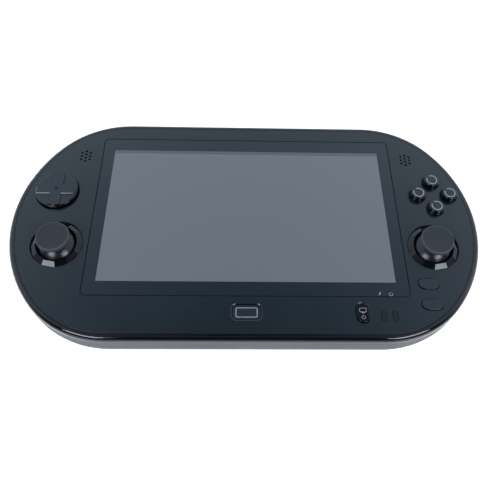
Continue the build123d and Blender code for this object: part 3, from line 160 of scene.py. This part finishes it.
# Rear shell: the back half of the case, injection-moulded in a warm dark grey ABS. The mould
# is spark-eroded, which leaves a fine even grain that keeps the plastic matt. The grain is
# 0.5 mm here, coarser than the real 0.1 mm, so that it shows at this size.
SHELL_GREY = "#565a58"
SHELL_GREY_LIGHT = "#60635f"
SHELL_PATCH = 0.04
MOTTLE_EDGES = (0.35, 0.65)

# The colour sockets of the Mix node, which share their names with its other sockets.
FIRST, SECOND, MIXED = 6, 7, 2


def finish(name, colour, roughness, **sockets):
    """A new material of one colour, with its tree and its shader."""
    made = bpy.data.materials.new(name)
    made.use_nodes = True
    shader = made.node_tree.nodes["Principled BSDF"]
    shader.inputs["Base Color"].default_value = linear(colour)
    shader.inputs["Roughness"].default_value = roughness
    for socket, value in sockets.items():
        shader.inputs[socket].default_value = value
    return made, made.node_tree, shader


def mottle(tree, shader, first, second, size):
    """Lets the colour wander between two close shades, over patches of a size in metres."""
    place = add(tree, "ShaderNodeTexCoord")
    noise = add(tree, "ShaderNodeTexNoise", {"Vector": place.outputs["Object"], "Scale": 1 / size})
    spread = add(tree, "ShaderNodeMapRange", {
        "Value": noise.outputs["Fac"], "From Min": MOTTLE_EDGES[0], "From Max": MOTTLE_EDGES[1]})
    mix = add(tree, "ShaderNodeMix", {
        "Factor": spread.outputs["Result"], FIRST: linear(first), SECOND: linear(second)},
        data_type="RGBA")
    tree.links.new(mix.outputs[MIXED], shader.inputs["Base Color"])


def pebble(tree, shader, size, depth):
    """A fine moulded grain: bumps of a size and a depth in metres."""
    place = add(tree, "ShaderNodeTexCoord")
    noise = add(tree, "ShaderNodeTexNoise", {"Vector": place.outputs["Object"], "Scale": 1 / size})
    bump = add(tree, "ShaderNodeBump", {"Height": noise.outputs["Fac"], "Distance": depth})
    tree.links.new(bump.outputs["Normal"], shader.inputs["Normal"])


def dress(material, *names):
    """Puts a material on CAD nodes."""
    for name in names:
        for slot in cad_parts[name].material_slots:
            slot.material = material


shell_abs, tree, shader = finish("grained_abs_dark_grey", SHELL_GREY, roughness=0.55)
mottle(tree, shader, SHELL_GREY, SHELL_GREY_LIGHT, size=SHELL_PATCH)
pebble(tree, shader, size=0.0005, depth=0.00003)
dress(shell_abs, "rear_shell")


# Feet: four discs of black silicone rubber, stuck in round recesses of the rear shell.
# They are dull, a little dusty, and faintly pitted from the mould.
FOOT_BLACK = "#1d1d1e"
FOOT_DUST = "#333334"

foot_rubber, tree, shader = finish("silicone_rubber_black", FOOT_BLACK, roughness=0.8)
mottle(tree, shader, FOOT_BLACK, FOOT_DUST, size=0.002)
pebble(tree, shader, size=0.0006, depth=0.00004)
dress(foot_rubber, "rubber_feet")


# Screws and pins: cold-headed steel. The case screws come in from the back and are
# blackened with zinc-nickel, the small screws inside are bright zinc-plated, and the hinge
# pins are plain ground steel. The plating is rubbed duller in spots.
BLACK_ZINC = "#2b2c2f"
BRIGHT_ZINC = "#b9bcc0"
GROUND_STEEL = "#a7a9ac"
WEAR_EDGES = (0.3, 0.7)
WEAR_DETAIL = 4.0


def wear(tree, shader, low, high, size):
    """Lets the roughness wander between two values, as handling and polishing leave it."""
    place = add(tree, "ShaderNodeTexCoord")
    noise = add(tree, "ShaderNodeTexNoise", {
        "Vector": place.outputs["Object"], "Scale": 1 / size, "Detail": WEAR_DETAIL})
    spread = add(tree, "ShaderNodeMapRange", {
        "Value": noise.outputs["Fac"], "From Min": WEAR_EDGES[0], "From Max": WEAR_EDGES[1],
        "To Min": low, "To Max": high})
    tree.links.new(spread.outputs["Result"], shader.inputs["Roughness"])


black_zinc, tree, shader = finish("steel_black_zinc", BLACK_ZINC, roughness=0.38, Metallic=1.0)
wear(tree, shader, low=0.3, high=0.5, size=0.0008)
dress(black_zinc, "case_screws")
bright_zinc, tree, shader = finish("steel_bright_zinc", BRIGHT_ZINC, roughness=0.3, Metallic=1.0)
wear(tree, shader, low=0.22, high=0.42, size=0.0008)
dress(bright_zinc, "inner_screws")
ground_steel, tree, shader = finish("steel_ground", GROUND_STEEL, roughness=0.25, Metallic=1.0)
wear(tree, shader, low=0.18, high=0.35, size=0.0006)
dress(ground_steel, "hinge_pins")


# Battery: a lithium pouch cell in a matt black polyester wrap, taped down between low ribs
# of the rear shell. The foil under the wrap shows as very shallow waves.
WRAP_BLACK = "#202225"
WRAP_GREY = "#2a2c30"

wrap, tree, shader = finish("polyester_wrap_black", WRAP_BLACK, roughness=0.45)
mottle(tree, shader, WRAP_BLACK, WRAP_GREY, size=0.012)
pebble(tree, shader, size=0.006, depth=0.0002)
dress(wrap, "battery_pack")


# Circuit boards: glass-fibre epoxy under green solder mask. The main board is screwed to the
# display bracket, the others to bosses of the front shell. The etched copper tracks under
# the mask show as a raised, lighter net of lines, 1.2 mm apart.
MASK_GREEN = "#123d28"
TRACK_GREEN = "#1f5a3a"
TRACK_PITCH = 0.0012
TRACK_EDGE = (0.02, 0.08)
TRACK_RAISE = 0.00004

mask, tree, shader = finish("solder_mask_green", MASK_GREEN, roughness=0.35)
place = add(tree, "ShaderNodeTexCoord")
cells = add(tree, "ShaderNodeTexVoronoi", {
    "Vector": place.outputs["Object"], "Scale": 1 / TRACK_PITCH},
    distance="MANHATTAN", feature="DISTANCE_TO_EDGE")
lines = add(tree, "ShaderNodeMapRange", {
    "Value": cells.outputs["Distance"], "From Min": TRACK_EDGE[0], "From Max": TRACK_EDGE[1],
    "To Min": 1.0, "To Max": 0.0})
mix = add(tree, "ShaderNodeMix", {
    "Factor": lines.outputs["Result"], FIRST: linear(MASK_GREEN), SECOND: linear(TRACK_GREEN)},
    data_type="RGBA")
tree.links.new(mix.outputs[MIXED], shader.inputs["Base Color"])
bump = add(tree, "ShaderNodeBump", {"Height": lines.outputs["Result"], "Distance": TRACK_RAISE})
tree.links.new(bump.outputs["Normal"], shader.inputs["Normal"])
dress(mask, "main_board", "left_control_board", "right_control_board", "key_board")


# Chips: the processor, the memory, the coils and a cable socket, soldered to the main board.
# Their cases are epoxy moulding compound, near black, with a fine dull grain.
EPOXY_BLACK = "#1b1c1e"
EPOXY_GREY = "#232527"

epoxy, tree, shader = finish("moulding_epoxy_black", EPOXY_BLACK, roughness=0.5)
mottle(tree, shader, EPOXY_BLACK, EPOXY_GREY, size=0.001)
pebble(tree, shader, size=0.0003, depth=0.00002)
dress(epoxy, "board_chips")


# Charging port: a drawn steel shell, soldered to the main board, round a black nylon tongue.
# Ten gold-plated contacts lie flat on each face of the tongue.
TONGUE_HALF = (0.0034, 1.0, 0.0005)
TONGUE_THICK = 0.0007
TONGUE_BLACK = "#151516"
CONTACT_GOLD = "#d9b45f"
CONTACT_WORN = "#c79f4c"
CONTACT_SIZE = (0.00026, 0.003)
CONTACT_CORNER = 0.000065
CONTACT_CORNER_STEPS = 2
CONTACT_THICK = 0.00002
CONTACT_BACK = 0.0024
CONTACT_PITCH = 0.0005
CONTACT_COUNT = 10


def inside(tree, centre, half):
    """A mask that is 1 in the box of these half sizes round a centre, and 0 outside it."""
    place = add(tree, "ShaderNodeTexCoord")
    away = add(tree, "ShaderNodeVectorMath", {
        0: place.outputs["Object"], 1: centre}, operation="SUBTRACT")
    share = add(tree, "ShaderNodeVectorMath", {0: away.outputs[0], 1: half}, operation="DIVIDE")
    size = add(tree, "ShaderNodeVectorMath", {0: share.outputs[0]}, operation="ABSOLUTE")
    parts = add(tree, "ShaderNodeSeparateXYZ", {0: size.outputs[0]})
    flat = add(tree, "ShaderNodeMath", {
        0: parts.outputs["X"], 1: parts.outputs["Y"]}, operation="MAXIMUM")
    most = add(tree, "ShaderNodeMath", {0: flat.outputs[0], 1: parts.outputs["Z"]}, operation="MAXIMUM")
    return add(tree, "ShaderNodeMath", {0: most.outputs[0], 1: 1.0}, operation="LESS_THAN").outputs[0]


def start():
    """Leaves nothing selected, so that an operator acts on the next piece alone."""
    if bpy.context.object and bpy.context.object.mode != "OBJECT":
        bpy.ops.object.mode_set(mode="OBJECT")
    bpy.ops.object.select_all(action="DESELECT")


def thicken(thickness):
    """Gives the flat shape that is open in edit mode its thickness, facing outwards."""
    bpy.ops.mesh.select_all(action="SELECT")
    bpy.ops.mesh.extrude_region_move(TRANSFORM_OT_translate={"value": (0, 0, thickness)})
    bpy.ops.mesh.select_all(action="SELECT")
    bpy.ops.mesh.normals_make_consistent(inside=False)
    bpy.ops.object.mode_set(mode="OBJECT")


def copy_to(step):
    """Copies the piece at hand, mesh and all, one step away, and returns the copy."""
    bpy.ops.object.duplicate_move(TRANSFORM_OT_translate={"value": step})
    return bpy.context.object


def settle(piece, name, material, body):
    """Puts a piece's place in its mesh, names and dresses it, and lets it ride on a body."""
    start()
    piece.select_set(True)
    bpy.context.view_layer.objects.active = piece
    bpy.ops.object.transform_apply(location=True, rotation=True, scale=True)
    piece.name = name
    piece.data.name = name
    piece.data.materials.clear()
    piece.data.materials.append(material)
    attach(piece, body)


low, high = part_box("charging_port")
centre = (low + high) / 2
port, tree, shader = finish("steel_shell_nylon_tongue", BRIGHT_ZINC, roughness=0.3)
tongue = inside(tree, centre, TONGUE_HALF)
shell = add(tree, "ShaderNodeMath", {0: 1.0, 1: tongue}, operation="SUBTRACT")
mix = add(tree, "ShaderNodeMix", {
    "Factor": tongue, FIRST: linear(BRIGHT_ZINC), SECOND: linear(TONGUE_BLACK)}, data_type="RGBA")
tree.links.new(mix.outputs[MIXED], shader.inputs["Base Color"])
tree.links.new(shell.outputs[0], shader.inputs["Metallic"])
wear(tree, shader, low=0.25, high=0.4, size=0.0008)
dress(port, "charging_port")

gold, tree, shader = finish("gold_plate_on_copper", CONTACT_GOLD, roughness=0.25, Metallic=1.0)
mottle(tree, shader, CONTACT_GOLD, CONTACT_WORN, size=0.0004)
wear(tree, shader, low=0.2, high=0.35, size=0.0003)
first_x = centre.x - CONTACT_PITCH * (CONTACT_COUNT - 1) / 2
start()
bpy.ops.mesh.primitive_plane_add(
    size=1, location=(first_x, high.y - CONTACT_BACK, centre.z + TONGUE_THICK / 2))
bpy.ops.object.mode_set(mode="EDIT")
bpy.ops.transform.resize(value=(*CONTACT_SIZE, 1))
bpy.ops.mesh.bevel(offset=CONTACT_CORNER, segments=CONTACT_CORNER_STEPS, affect="VERTICES")
bpy.ops.mesh.select_all(action="SELECT")
for _ in range(CONTACT_COUNT - 1):
    bpy.ops.mesh.duplicate_move(TRANSFORM_OT_translate={"value": (CONTACT_PITCH, 0, 0)})
thicken(CONTACT_THICK)
upper = bpy.context.object
lower = copy_to((0, 0, -TONGUE_THICK - CONTACT_THICK))
settle(upper, "charging_port_contacts_upper", gold, "root")
settle(lower, "charging_port_contacts_lower", gold, "root")


# Switches, headphone jack and LEDs: bodies of glass-filled nylon, moulded round their metal
# parts and soldered to the boards. The switches and the jack are black, the LEDs white, all
# with the faint grain that the glass fibres give.
NYLON_BLACK = "#191a1b"
NYLON_BLACK_LIGHT = "#232527"
NYLON_WHITE = "#d9d8d2"
NYLON_WHITE_DARK = "#c9c8c0"

nylon, tree, shader = finish("nylon_black", NYLON_BLACK, roughness=0.42)
mottle(tree, shader, NYLON_BLACK, NYLON_BLACK_LIGHT, size=0.002)
pebble(tree, shader, size=0.0005, depth=0.00002)
dress(nylon, "key_switches", "rocker_switches", "shoulder_switches", "headphone_jack")
white_nylon, tree, shader = finish("nylon_white", NYLON_WHITE, roughness=0.4)
mottle(tree, shader, NYLON_WHITE, NYLON_WHITE_DARK, size=0.002)
pebble(tree, shader, size=0.0005, depth=0.00002)
dress(white_nylon, "status_leds")


# Heat spreader: a sheet of rolled copper, stuck flat on the processor with thermal paste.
# Rolling leaves fine lines along it, and handling leaves slightly darker patches.
COPPER = "#c07a55"
COPPER_DARK = "#a5623f"
ROLLED_LINE = (0.005, 0.00025, 0.005)
ROLLED_DEPTH = 0.00002

copper, tree, shader = finish("copper_rolled", COPPER, roughness=0.32, Metallic=1.0)
mottle(tree, shader, COPPER, COPPER_DARK, size=0.006)
place = add(tree, "ShaderNodeTexCoord")
drawn = add(tree, "ShaderNodeMapping", {
    "Vector": place.outputs["Object"], "Scale": [1 / length for length in ROLLED_LINE]})
noise = add(tree, "ShaderNodeTexNoise", {"Vector": drawn.outputs[0], "Scale": 1.0})
bump = add(tree, "ShaderNodeBump", {"Height": noise.outputs["Fac"], "Distance": ROLLED_DEPTH})
tree.links.new(bump.outputs["Normal"], shader.inputs["Normal"])
dress(copper, "heat_spreader")


# Ribbons: flat copper conductors laminated between two films of amber polyimide, joined to
# the boards at their ends. The conductors show through as stripes 0.5 mm apart.
FILM_AMBER = "#b5762a"
FILM_DARK = "#8a5518"
STRIPE_PITCH = 0.0005
# The length in which a wave texture repeats at scale 1.
WAVE_AT_SCALE_1 = math.pi / 10

film, tree, shader = finish("polyimide_film_amber", FILM_AMBER, roughness=0.3)
place = add(tree, "ShaderNodeTexCoord")
stripes = add(tree, "ShaderNodeTexWave", {
    "Vector": place.outputs["Object"], "Scale": WAVE_AT_SCALE_1 / STRIPE_PITCH},
    bands_direction="X")
mix = add(tree, "ShaderNodeMix", {
    "Factor": stripes.outputs["Fac"], FIRST: linear(FILM_AMBER), SECOND: linear(FILM_DARK)},
    data_type="RGBA")
tree.links.new(mix.outputs[MIXED], shader.inputs["Base Color"])
dress(film, "display_ribbon", "side_ribbons")


# Rubber pads: one sheet under each group of buttons, compression-moulded with its domes in
# translucent grey silicone, and laid on the control boards. The moulding leaves it satin.
PAD_GREY = "#8d9194"
PAD_LIGHT = "#9da1a4"

silicone, tree, shader = finish("silicone_grey", PAD_GREY, roughness=0.5)
mottle(tree, shader, PAD_GREY, PAD_LIGHT, size=0.003)
pebble(tree, shader, size=0.0008, depth=0.00002)
dress(silicone, "dpad_pad", "face_button_pad", "menu_button_pad")


# Stick and pad mechanics: yokes, posts, pivot base and cross in natural acetal, waxy and
# polished where they rub, so that they slide without grease. The stick housings hang under
# the control boards on four spacers, and are moulded in grey nylon.
ACETAL = "#cfcdc4"
ACETAL_SHADE = "#bfbdb3"
HOUSING_GREY = "#3a3c3f"
HOUSING_GREY_LIGHT = "#45474a"

acetal, tree, shader = finish("acetal_natural", ACETAL, roughness=0.38)
mottle(tree, shader, ACETAL, ACETAL_SHADE, size=0.004)
wear(tree, shader, low=0.3, high=0.48, size=0.002)
dress(acetal, "left_stick_post", "right_stick_post", "left_stick_yoke", "right_stick_yoke",
      "dpad_cross", "dpad_pivot_base")
housing, tree, shader = finish("nylon_grey", HOUSING_GREY, roughness=0.5)
mottle(tree, shader, HOUSING_GREY, HOUSING_GREY_LIGHT, size=0.003)
pebble(tree, shader, size=0.0006, depth=0.00003)
dress(housing, "left_stick_base", "right_stick_base")


# Speakers: a black box with a doped paper cone, held behind the holes of the face by a low
# wall, and sealed to the face by its gasket. The paper is fibrous and dull.
CONE_BLACK = "#070808"
CONE_FIBRE = "#0f1011"

cone, tree, shader = finish("doped_paper_black", CONE_BLACK, roughness=0.75)
mottle(tree, shader, CONE_BLACK, CONE_FIBRE, size=0.0006)
pebble(tree, shader, size=0.0005, depth=0.00006)
dress(cone, "left_speaker", "right_speaker")


# Gaskets and tape: closed-cell polyurethane foam, die-cut from black sheet and stuck round
# the panel, the speakers and the ledge of the window. Its fine cells leave it dull.
FOAM_BLACK = "#161616"
FOAM_GREY = "#242424"

foam, tree, shader = finish("polyurethane_foam_black", FOAM_BLACK, roughness=0.9)
mottle(tree, shader, FOAM_BLACK, FOAM_GREY, size=0.0008)
pebble(tree, shader, size=0.0004, depth=0.0001)
dress(foam, "display_gasket", "lens_tape", "speaker_gaskets")


# Display stack: a glass panel, near black and smooth, over a backlight with a white moulded
# frame. A pressed bracket of zinc-plated steel holds both to the front shell.
PANEL_BLACK = "#15181c"

glass, tree, shader = finish("panel_glass", PANEL_BLACK, roughness=0.06, IOR=1.52)
wear(tree, shader, low=0.04, high=0.09, size=0.03)
dress(glass, "lcd_glass")
dress(white_nylon, "backlight_unit")
dress(bright_zinc, "display_bracket")


# Side frame: the ring round the face, injection-moulded in black ABS under a clear gloss
# lacquer. The black shows deep under it, and lamps and the white floor show as crisp lines.
# The lacquer levels itself in very shallow waves, a few millimetres long.
GLOSS_BLACK = "#08090c"

lacquer, tree, shader = finish("abs_black_gloss_lacquer", GLOSS_BLACK, roughness=0.05, IOR=1.5)
wear(tree, shader, low=0.03, high=0.06, size=0.01)
pebble(tree, shader, size=0.004, depth=0.00001)
dress(lacquer, "side_frame")


# Shoulder buttons and volume rocker: shells of the same black ABS, lacquered with the side
# frame so that they match it, and hung on steel pins behind openings of the case.
dress(lacquer, "left_shoulder_button", "right_shoulder_button", "volume_rocker")


# Front shell: the flat face, moulded in ABS and sprayed with a satin blue-grey paint.
# The paint scatters light softly, with a faint orange-peel about 0.4 mm across, drawn at
# 0.8 mm so that it shows.
FACE_BLUE = "#141f24"
FACE_BLUE_LIGHT = "#172227"

face_paint, tree, shader = finish("abs_satin_paint_blue_grey", FACE_BLUE, roughness=0.18)
mottle(tree, shader, FACE_BLUE, FACE_BLUE_LIGHT, size=0.03)
pebble(tree, shader, size=0.0008, depth=0.00002)
dress(face_paint, "front_shell")


# Window: a sheet of hard-coated acrylic, taped on its ledge flush with the face, and printed
# from behind with a blue-grey border. In the clear opening the panel shows as one even grey,
# with the thin line of its frame along the top. The hard coat shows faint rub marks.
LENS_BORDER = "#1a242a"
PANEL_GREY = "#6a6d6e"
PANEL_STRIP = "#55595c"
ACTIVE_CENTRE = (0.0, 0.00575, 0.0)
ACTIVE_HALF = (0.0771, 0.04295, 1.0)
STRIP_HEIGHT = 0.0022

lens_acrylic, tree, shader = finish("acrylic_hard_coated_back_printed", LENS_BORDER, roughness=0.1)
place = add(tree, "ShaderNodeTexCoord")
parts = add(tree, "ShaderNodeSeparateXYZ", {0: place.outputs["Object"]})
strip = add(tree, "ShaderNodeMath", {
    0: parts.outputs["Y"], 1: ACTIVE_CENTRE[1] + ACTIVE_HALF[1] - STRIP_HEIGHT},
    operation="GREATER_THAN")
lit = add(tree, "ShaderNodeMix", {
    "Factor": strip.outputs[0], FIRST: linear(PANEL_GREY), SECOND: linear(PANEL_STRIP)},
    data_type="RGBA")
mix = add(tree, "ShaderNodeMix", {
    "Factor": inside(tree, ACTIVE_CENTRE, ACTIVE_HALF), FIRST: linear(LENS_BORDER),
    SECOND: lit.outputs[MIXED]}, data_type="RGBA")
tree.links.new(mix.outputs[MIXED], shader.inputs["Base Color"])
wear(tree, shader, low=0.08, high=0.12, size=0.015)
dress(lens_acrylic, "display_lens")


# Thumb sticks: a domed skirt in gloss black ABS with a cap of matt rubber moulded over its
# top, pushed on its post. The rubber has a fine pebble grain, and its rim is painted a little
# lighter as a painted highlight, where the rounded edge catches the lamps. The faceted collar
# round each stick is polished ABS, pushed into the face.
CAP_RUBBER = "#1f252a"
# The lighter rim colour below is a painted highlight on the cap's rounded edge.
CAP_RIM_HIGHLIGHT = "#444a50"
CAP_HIGHLIGHT_INNER = 0.0081
CAP_GRAIN = 0.0006
CAP_GRAIN_DEPTH = 0.00004
RUBBER_FOOT = 0.0311
SKIRT_ROUGHNESS = 0.28
RUBBER_ROUGHNESS = 0.65

gloss_abs, tree, shader = finish("abs_black_polished", GLOSS_BLACK, roughness=0.05, IOR=1.4)
wear(tree, shader, low=0.03, high=0.06, size=0.01)
pebble(tree, shader, size=0.004, depth=0.00001)
dress(gloss_abs, "left_stick_bezel", "right_stick_bezel")

for name in ("left_stick_cap", "right_stick_cap"):
    low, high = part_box(name)
    centre = (low + high) / 2
    cap, tree, shader = finish(name + "_rubber_over_gloss_abs", CAP_RUBBER, roughness=0.7)
    place = add(tree, "ShaderNodeTexCoord")
    parts = add(tree, "ShaderNodeSeparateXYZ", {0: place.outputs["Object"]})
    rubber = add(tree, "ShaderNodeMath", {
        0: parts.outputs["Z"], 1: RUBBER_FOOT}, operation="GREATER_THAN")
    flat = add(tree, "ShaderNodeMapping", {
        "Vector": place.outputs["Object"], "Location": (-centre.x, -centre.y, 0.0),
        "Scale": (1.0, 1.0, 0.0)})
    reach = add(tree, "ShaderNodeVectorMath", {0: flat.outputs[0]}, operation="LENGTH")
    # Outside this radius the cap's top is painted lighter, a painted highlight on its rounded rim.
    rim_highlight = add(tree, "ShaderNodeMath", {
        0: reach.outputs["Value"], 1: CAP_HIGHLIGHT_INNER}, operation="GREATER_THAN")
    top = add(tree, "ShaderNodeMix", {
        "Factor": rim_highlight.outputs[0], FIRST: linear(CAP_RUBBER), SECOND: linear(CAP_RIM_HIGHLIGHT)},
        data_type="RGBA")
    mix = add(tree, "ShaderNodeMix", {
        "Factor": rubber.outputs[0], FIRST: linear(GLOSS_BLACK), SECOND: top.outputs[MIXED]},
        data_type="RGBA")
    rough = add(tree, "ShaderNodeMapRange", {
        "Value": rubber.outputs[0], "To Min": SKIRT_ROUGHNESS, "To Max": RUBBER_ROUGHNESS})
    noise = add(tree, "ShaderNodeTexNoise", {
        "Vector": place.outputs["Object"], "Scale": 1 / CAP_GRAIN})
    depth = add(tree, "ShaderNodeMath", {
        0: noise.outputs["Fac"], 1: rubber.outputs[0]}, operation="MULTIPLY")
    bump = add(tree, "ShaderNodeBump", {"Height": depth.outputs[0], "Distance": CAP_GRAIN_DEPTH})
    tree.links.new(mix.outputs[MIXED], shader.inputs["Base Color"])
    tree.links.new(rough.outputs["Result"], shader.inputs["Roughness"])
    tree.links.new(bump.outputs["Normal"], shader.inputs["Normal"])
    dress(cap, name)


# Direction pad: one moulding of black ABS, polished on its sides and fine satin on its top,
# so only the rounded edges catch the lamps. It rocks on its pivot under the face. The small
# dimple in its middle is dull, as the mould's pin leaves it, and its near black colour is
# painted shade, where a deep pit would lie in shadow.
KEY_BLACK = "#090a0c"
KEY_TOP = "#17222a"
KEY_SIDE_ROUGHNESS = 0.07
KEY_TOP_ROUGHNESS = 0.3
TOP_NORMAL = 0.97
DIMPLE_RADIUS = 0.001
DIMPLE_ROUGHNESS = 0.8

key_abs, tree, shader = finish("abs_black_satin_top", KEY_BLACK, roughness=KEY_SIDE_ROUGHNESS)
low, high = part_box("dpad")
centre = (low + high) / 2
place = add(tree, "ShaderNodeTexCoord")
parts = add(tree, "ShaderNodeSeparateXYZ", {0: place.outputs["Normal"]})
top = add(tree, "ShaderNodeMapRange", {
    "Value": parts.outputs["Z"], "From Min": TOP_NORMAL, "From Max": 1.0})
apart = add(tree, "ShaderNodeVectorMath", {
    0: place.outputs["Object"], 1: (centre.x, centre.y, high.z)}, operation="DISTANCE")
# Inside this radius the colour is painted shade, near black as a deep pit's shadow, and the roughness
# is raised.
shaded_dull_dimple = add(tree, "ShaderNodeMath", {
    0: apart.outputs["Value"], 1: DIMPLE_RADIUS}, operation="LESS_THAN")
satin = add(tree, "ShaderNodeMath", {
    0: top.outputs["Result"], 1: shaded_dull_dimple.outputs[0]}, operation="SUBTRACT", use_clamp=True)
mix = add(tree, "ShaderNodeMix", {
    "Factor": satin.outputs[0], FIRST: linear(KEY_BLACK), SECOND: linear(KEY_TOP)},
    data_type="RGBA")
rough = add(tree, "ShaderNodeMapRange", {
    "Value": top.outputs["Result"], "To Min": KEY_SIDE_ROUGHNESS, "To Max": KEY_TOP_ROUGHNESS})
dull = add(tree, "ShaderNodeMath", {
    0: shaded_dull_dimple.outputs[0], 1: DIMPLE_ROUGHNESS}, operation="MULTIPLY")
either = add(tree, "ShaderNodeMath", {
    0: rough.outputs["Result"], 1: dull.outputs[0]}, operation="MAXIMUM")
tree.links.new(mix.outputs[MIXED], shader.inputs["Base Color"])
tree.links.new(either.outputs[0], shader.inputs["Roughness"])
pebble(tree, shader, size=0.0006, depth=0.000006)
dress(key_abs, "dpad")


# Face buttons: four drums of the same black ABS, free to slide in the face over one rubber
# pad. Each has a ring on its top, pad-printed in pale grey ink 0.02 mm thick. The ring is
# modelled once and copied, and is open for a short way at its upper left.
FACE_BUTTONS = ("top_button", "right_button", "bottom_button", "left_button")
INK_GREY = "#a4a9ab"
INK_GREY_DARK = "#989da0"
INK_THICK = 0.00002
INK_SINK = 0.000005
RING_SIDES = 72
RING_RADIUS = 0.003
RING_LINE = 0.00042
RING_GAP = (115, 155)


def print_spot(node):
    """The middle of a node's top, sunk a little so that the ink has hold of the plastic."""
    low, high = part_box(node)
    return Vector(((low.x + high.x) / 2, (low.y + high.y) / 2, high.z - INK_SINK))


def print_ring(spot, sides, radius, line, gap):
    """Leaves a flat ring open in edit mode, without its faces between two angles."""
    start()
    bpy.ops.mesh.primitive_circle_add(vertices=sides, radius=radius, fill_type="NGON", location=spot)
    bpy.ops.object.mode_set(mode="EDIT")
    bpy.ops.mesh.inset(thickness=line)
    bpy.ops.mesh.delete(type="FACE")
    bpy.ops.mesh.select_mode(type="FACE")
    mesh = bmesh.from_edit_mesh(bpy.context.object.data)
    for face in mesh.faces:
        middle = face.calc_center_median()
        face.select_set(gap[0] < math.degrees(math.atan2(middle.y, middle.x)) % 360 < gap[1])
    bmesh.update_edit_mesh(bpy.context.object.data)
    bpy.ops.mesh.delete(type="FACE")


dress(key_abs, *FACE_BUTTONS)
ink, tree, shader = finish("pad_printing_ink_grey", INK_GREY, roughness=0.45)
mottle(tree, shader, INK_GREY, INK_GREY_DARK, size=0.0008)
spots = [print_spot(name) for name in FACE_BUTTONS]
print_ring(spots[0], RING_SIDES, RING_RADIUS, RING_LINE, RING_GAP)
thicken(INK_THICK)
rings = [bpy.context.object]
for before, spot in zip(spots, spots[1:]):
    rings.append(copy_to(spot - before))
for ring, name in zip(rings, FACE_BUTTONS):
    settle(ring, name + "_ring", ink, name)


# Start, select and home buttons: low keys of the same black ABS with satin tops. They are
# held from behind by their flanges, over a rubber dome or a switch. The power button is
# polished all over, like the collars.
dress(key_abs, "start_button", "select_button", "home_button")
dress(gloss_abs, "power_button")


# Printed marks: plain outlines in the ink of the rings, pad-printed too. The home button has
# a rounded frame. The power button has a screen and a standby sign, and the window's near
# border has a charging bolt and the same standby sign beside it.
FRAME_CORNER_STEPS = 5
HOME_FRAME = (0.0109, 0.0053)
HOME_LINE = 0.00034
HOME_CORNER = 0.0009
SCREEN_FRAME = (0.0035, 0.0023)
SCREEN_LINE = 0.0002
SCREEN_CORNER = 0.0003
SCREEN_RISE = 0.0013
SCREEN_FOOT = (0.0015, 0.0003)
STANDBY_SIDES = 36
STANDBY_DROP = 0.0025
STANDBY_RADIUS = 0.001
STANDBY_LINE = 0.0002
STANDBY_GAP = (45, 135)
STANDBY_BAR = (0.0002, 0.0007)
STANDBY_BAR_RISE = 0.000825
WINDOW_STANDBY_PLACE = (0.0737, -0.0438)
BOLT_PLACE = (0.0681, -0.0435)
BOLT_SIDES = 4
BOLT_RADIUS = 0.00085
BOLT_STRETCH = (0.36, 1.5, 1.0)
BOLT_LEAN = 28


def print_frame(spot, size, corner, line):
    """Leaves a flat frame with round corners open in edit mode."""
    start()
    bpy.ops.mesh.primitive_plane_add(size=1, location=spot)
    bpy.ops.object.mode_set(mode="EDIT")
    bpy.ops.transform.resize(value=(*size, 1))
    bpy.ops.mesh.bevel(offset=corner, segments=FRAME_CORNER_STEPS, affect="VERTICES")
    bpy.ops.mesh.select_all(action="SELECT")
    bpy.ops.mesh.inset(thickness=line)
    bpy.ops.mesh.delete(type="FACE")


def print_bar(spot, size):
    """Adds a flat bar to the mark that is open in edit mode."""
    bpy.ops.mesh.select_all(action="DESELECT")
    bpy.ops.mesh.primitive_plane_add(size=1, location=spot)
    bpy.ops.transform.resize(value=(*size, 1))


print_frame(print_spot("home_button"), HOME_FRAME, HOME_CORNER, HOME_LINE)
thicken(INK_THICK)
settle(bpy.context.object, "home_frame_mark", ink, "home_button")

spot = print_spot("power_button") + Vector((0, SCREEN_RISE, 0))
print_frame(spot, SCREEN_FRAME, SCREEN_CORNER, SCREEN_LINE)
print_bar(spot - Vector((0, SCREEN_FRAME[1] / 2 + SCREEN_FOOT[1], 0)), SCREEN_FOOT)
thicken(INK_THICK)
settle(bpy.context.object, "power_screen_mark", ink, "power_button")

spot = print_spot("power_button") - Vector((0, STANDBY_DROP, 0))
print_ring(spot, STANDBY_SIDES, STANDBY_RADIUS, STANDBY_LINE, STANDBY_GAP)
print_bar(spot + Vector((0, STANDBY_BAR_RISE, 0)), STANDBY_BAR)
thicken(INK_THICK)
on_power = bpy.context.object
window_top = print_spot("display_lens").z
on_window = copy_to(Vector((*WINDOW_STANDBY_PLACE, window_top)) - spot)
settle(on_power, "power_standby_mark", ink, "power_button")
settle(on_window, "window_standby_mark", ink, "root")

start()
spot = (*BOLT_PLACE, window_top)
bpy.ops.mesh.primitive_circle_add(
    vertices=BOLT_SIDES, radius=BOLT_RADIUS, fill_type="NGON", location=spot)
bpy.ops.object.mode_set(mode="EDIT")
bpy.ops.transform.resize(value=BOLT_STRETCH)
bpy.ops.transform.rotate(value=math.radians(BOLT_LEAN), orient_axis="Z", center_override=spot)
thicken(INK_THICK)
settle(bpy.context.object, "window_bolt_mark", ink, "root")


# Status lights: two pipes moulded in smoked polycarbonate, pushed up into their slots over
# the LEDs. They look dark until the LEDs are lit.
PIPE_SMOKE = "#11181e"

pipe, tree, shader = finish("polycarbonate_smoked", PIPE_SMOKE, roughness=0.16)
wear(tree, shader, low=0.13, high=0.19, size=0.001)
dress(pipe, "status_light_pipes")
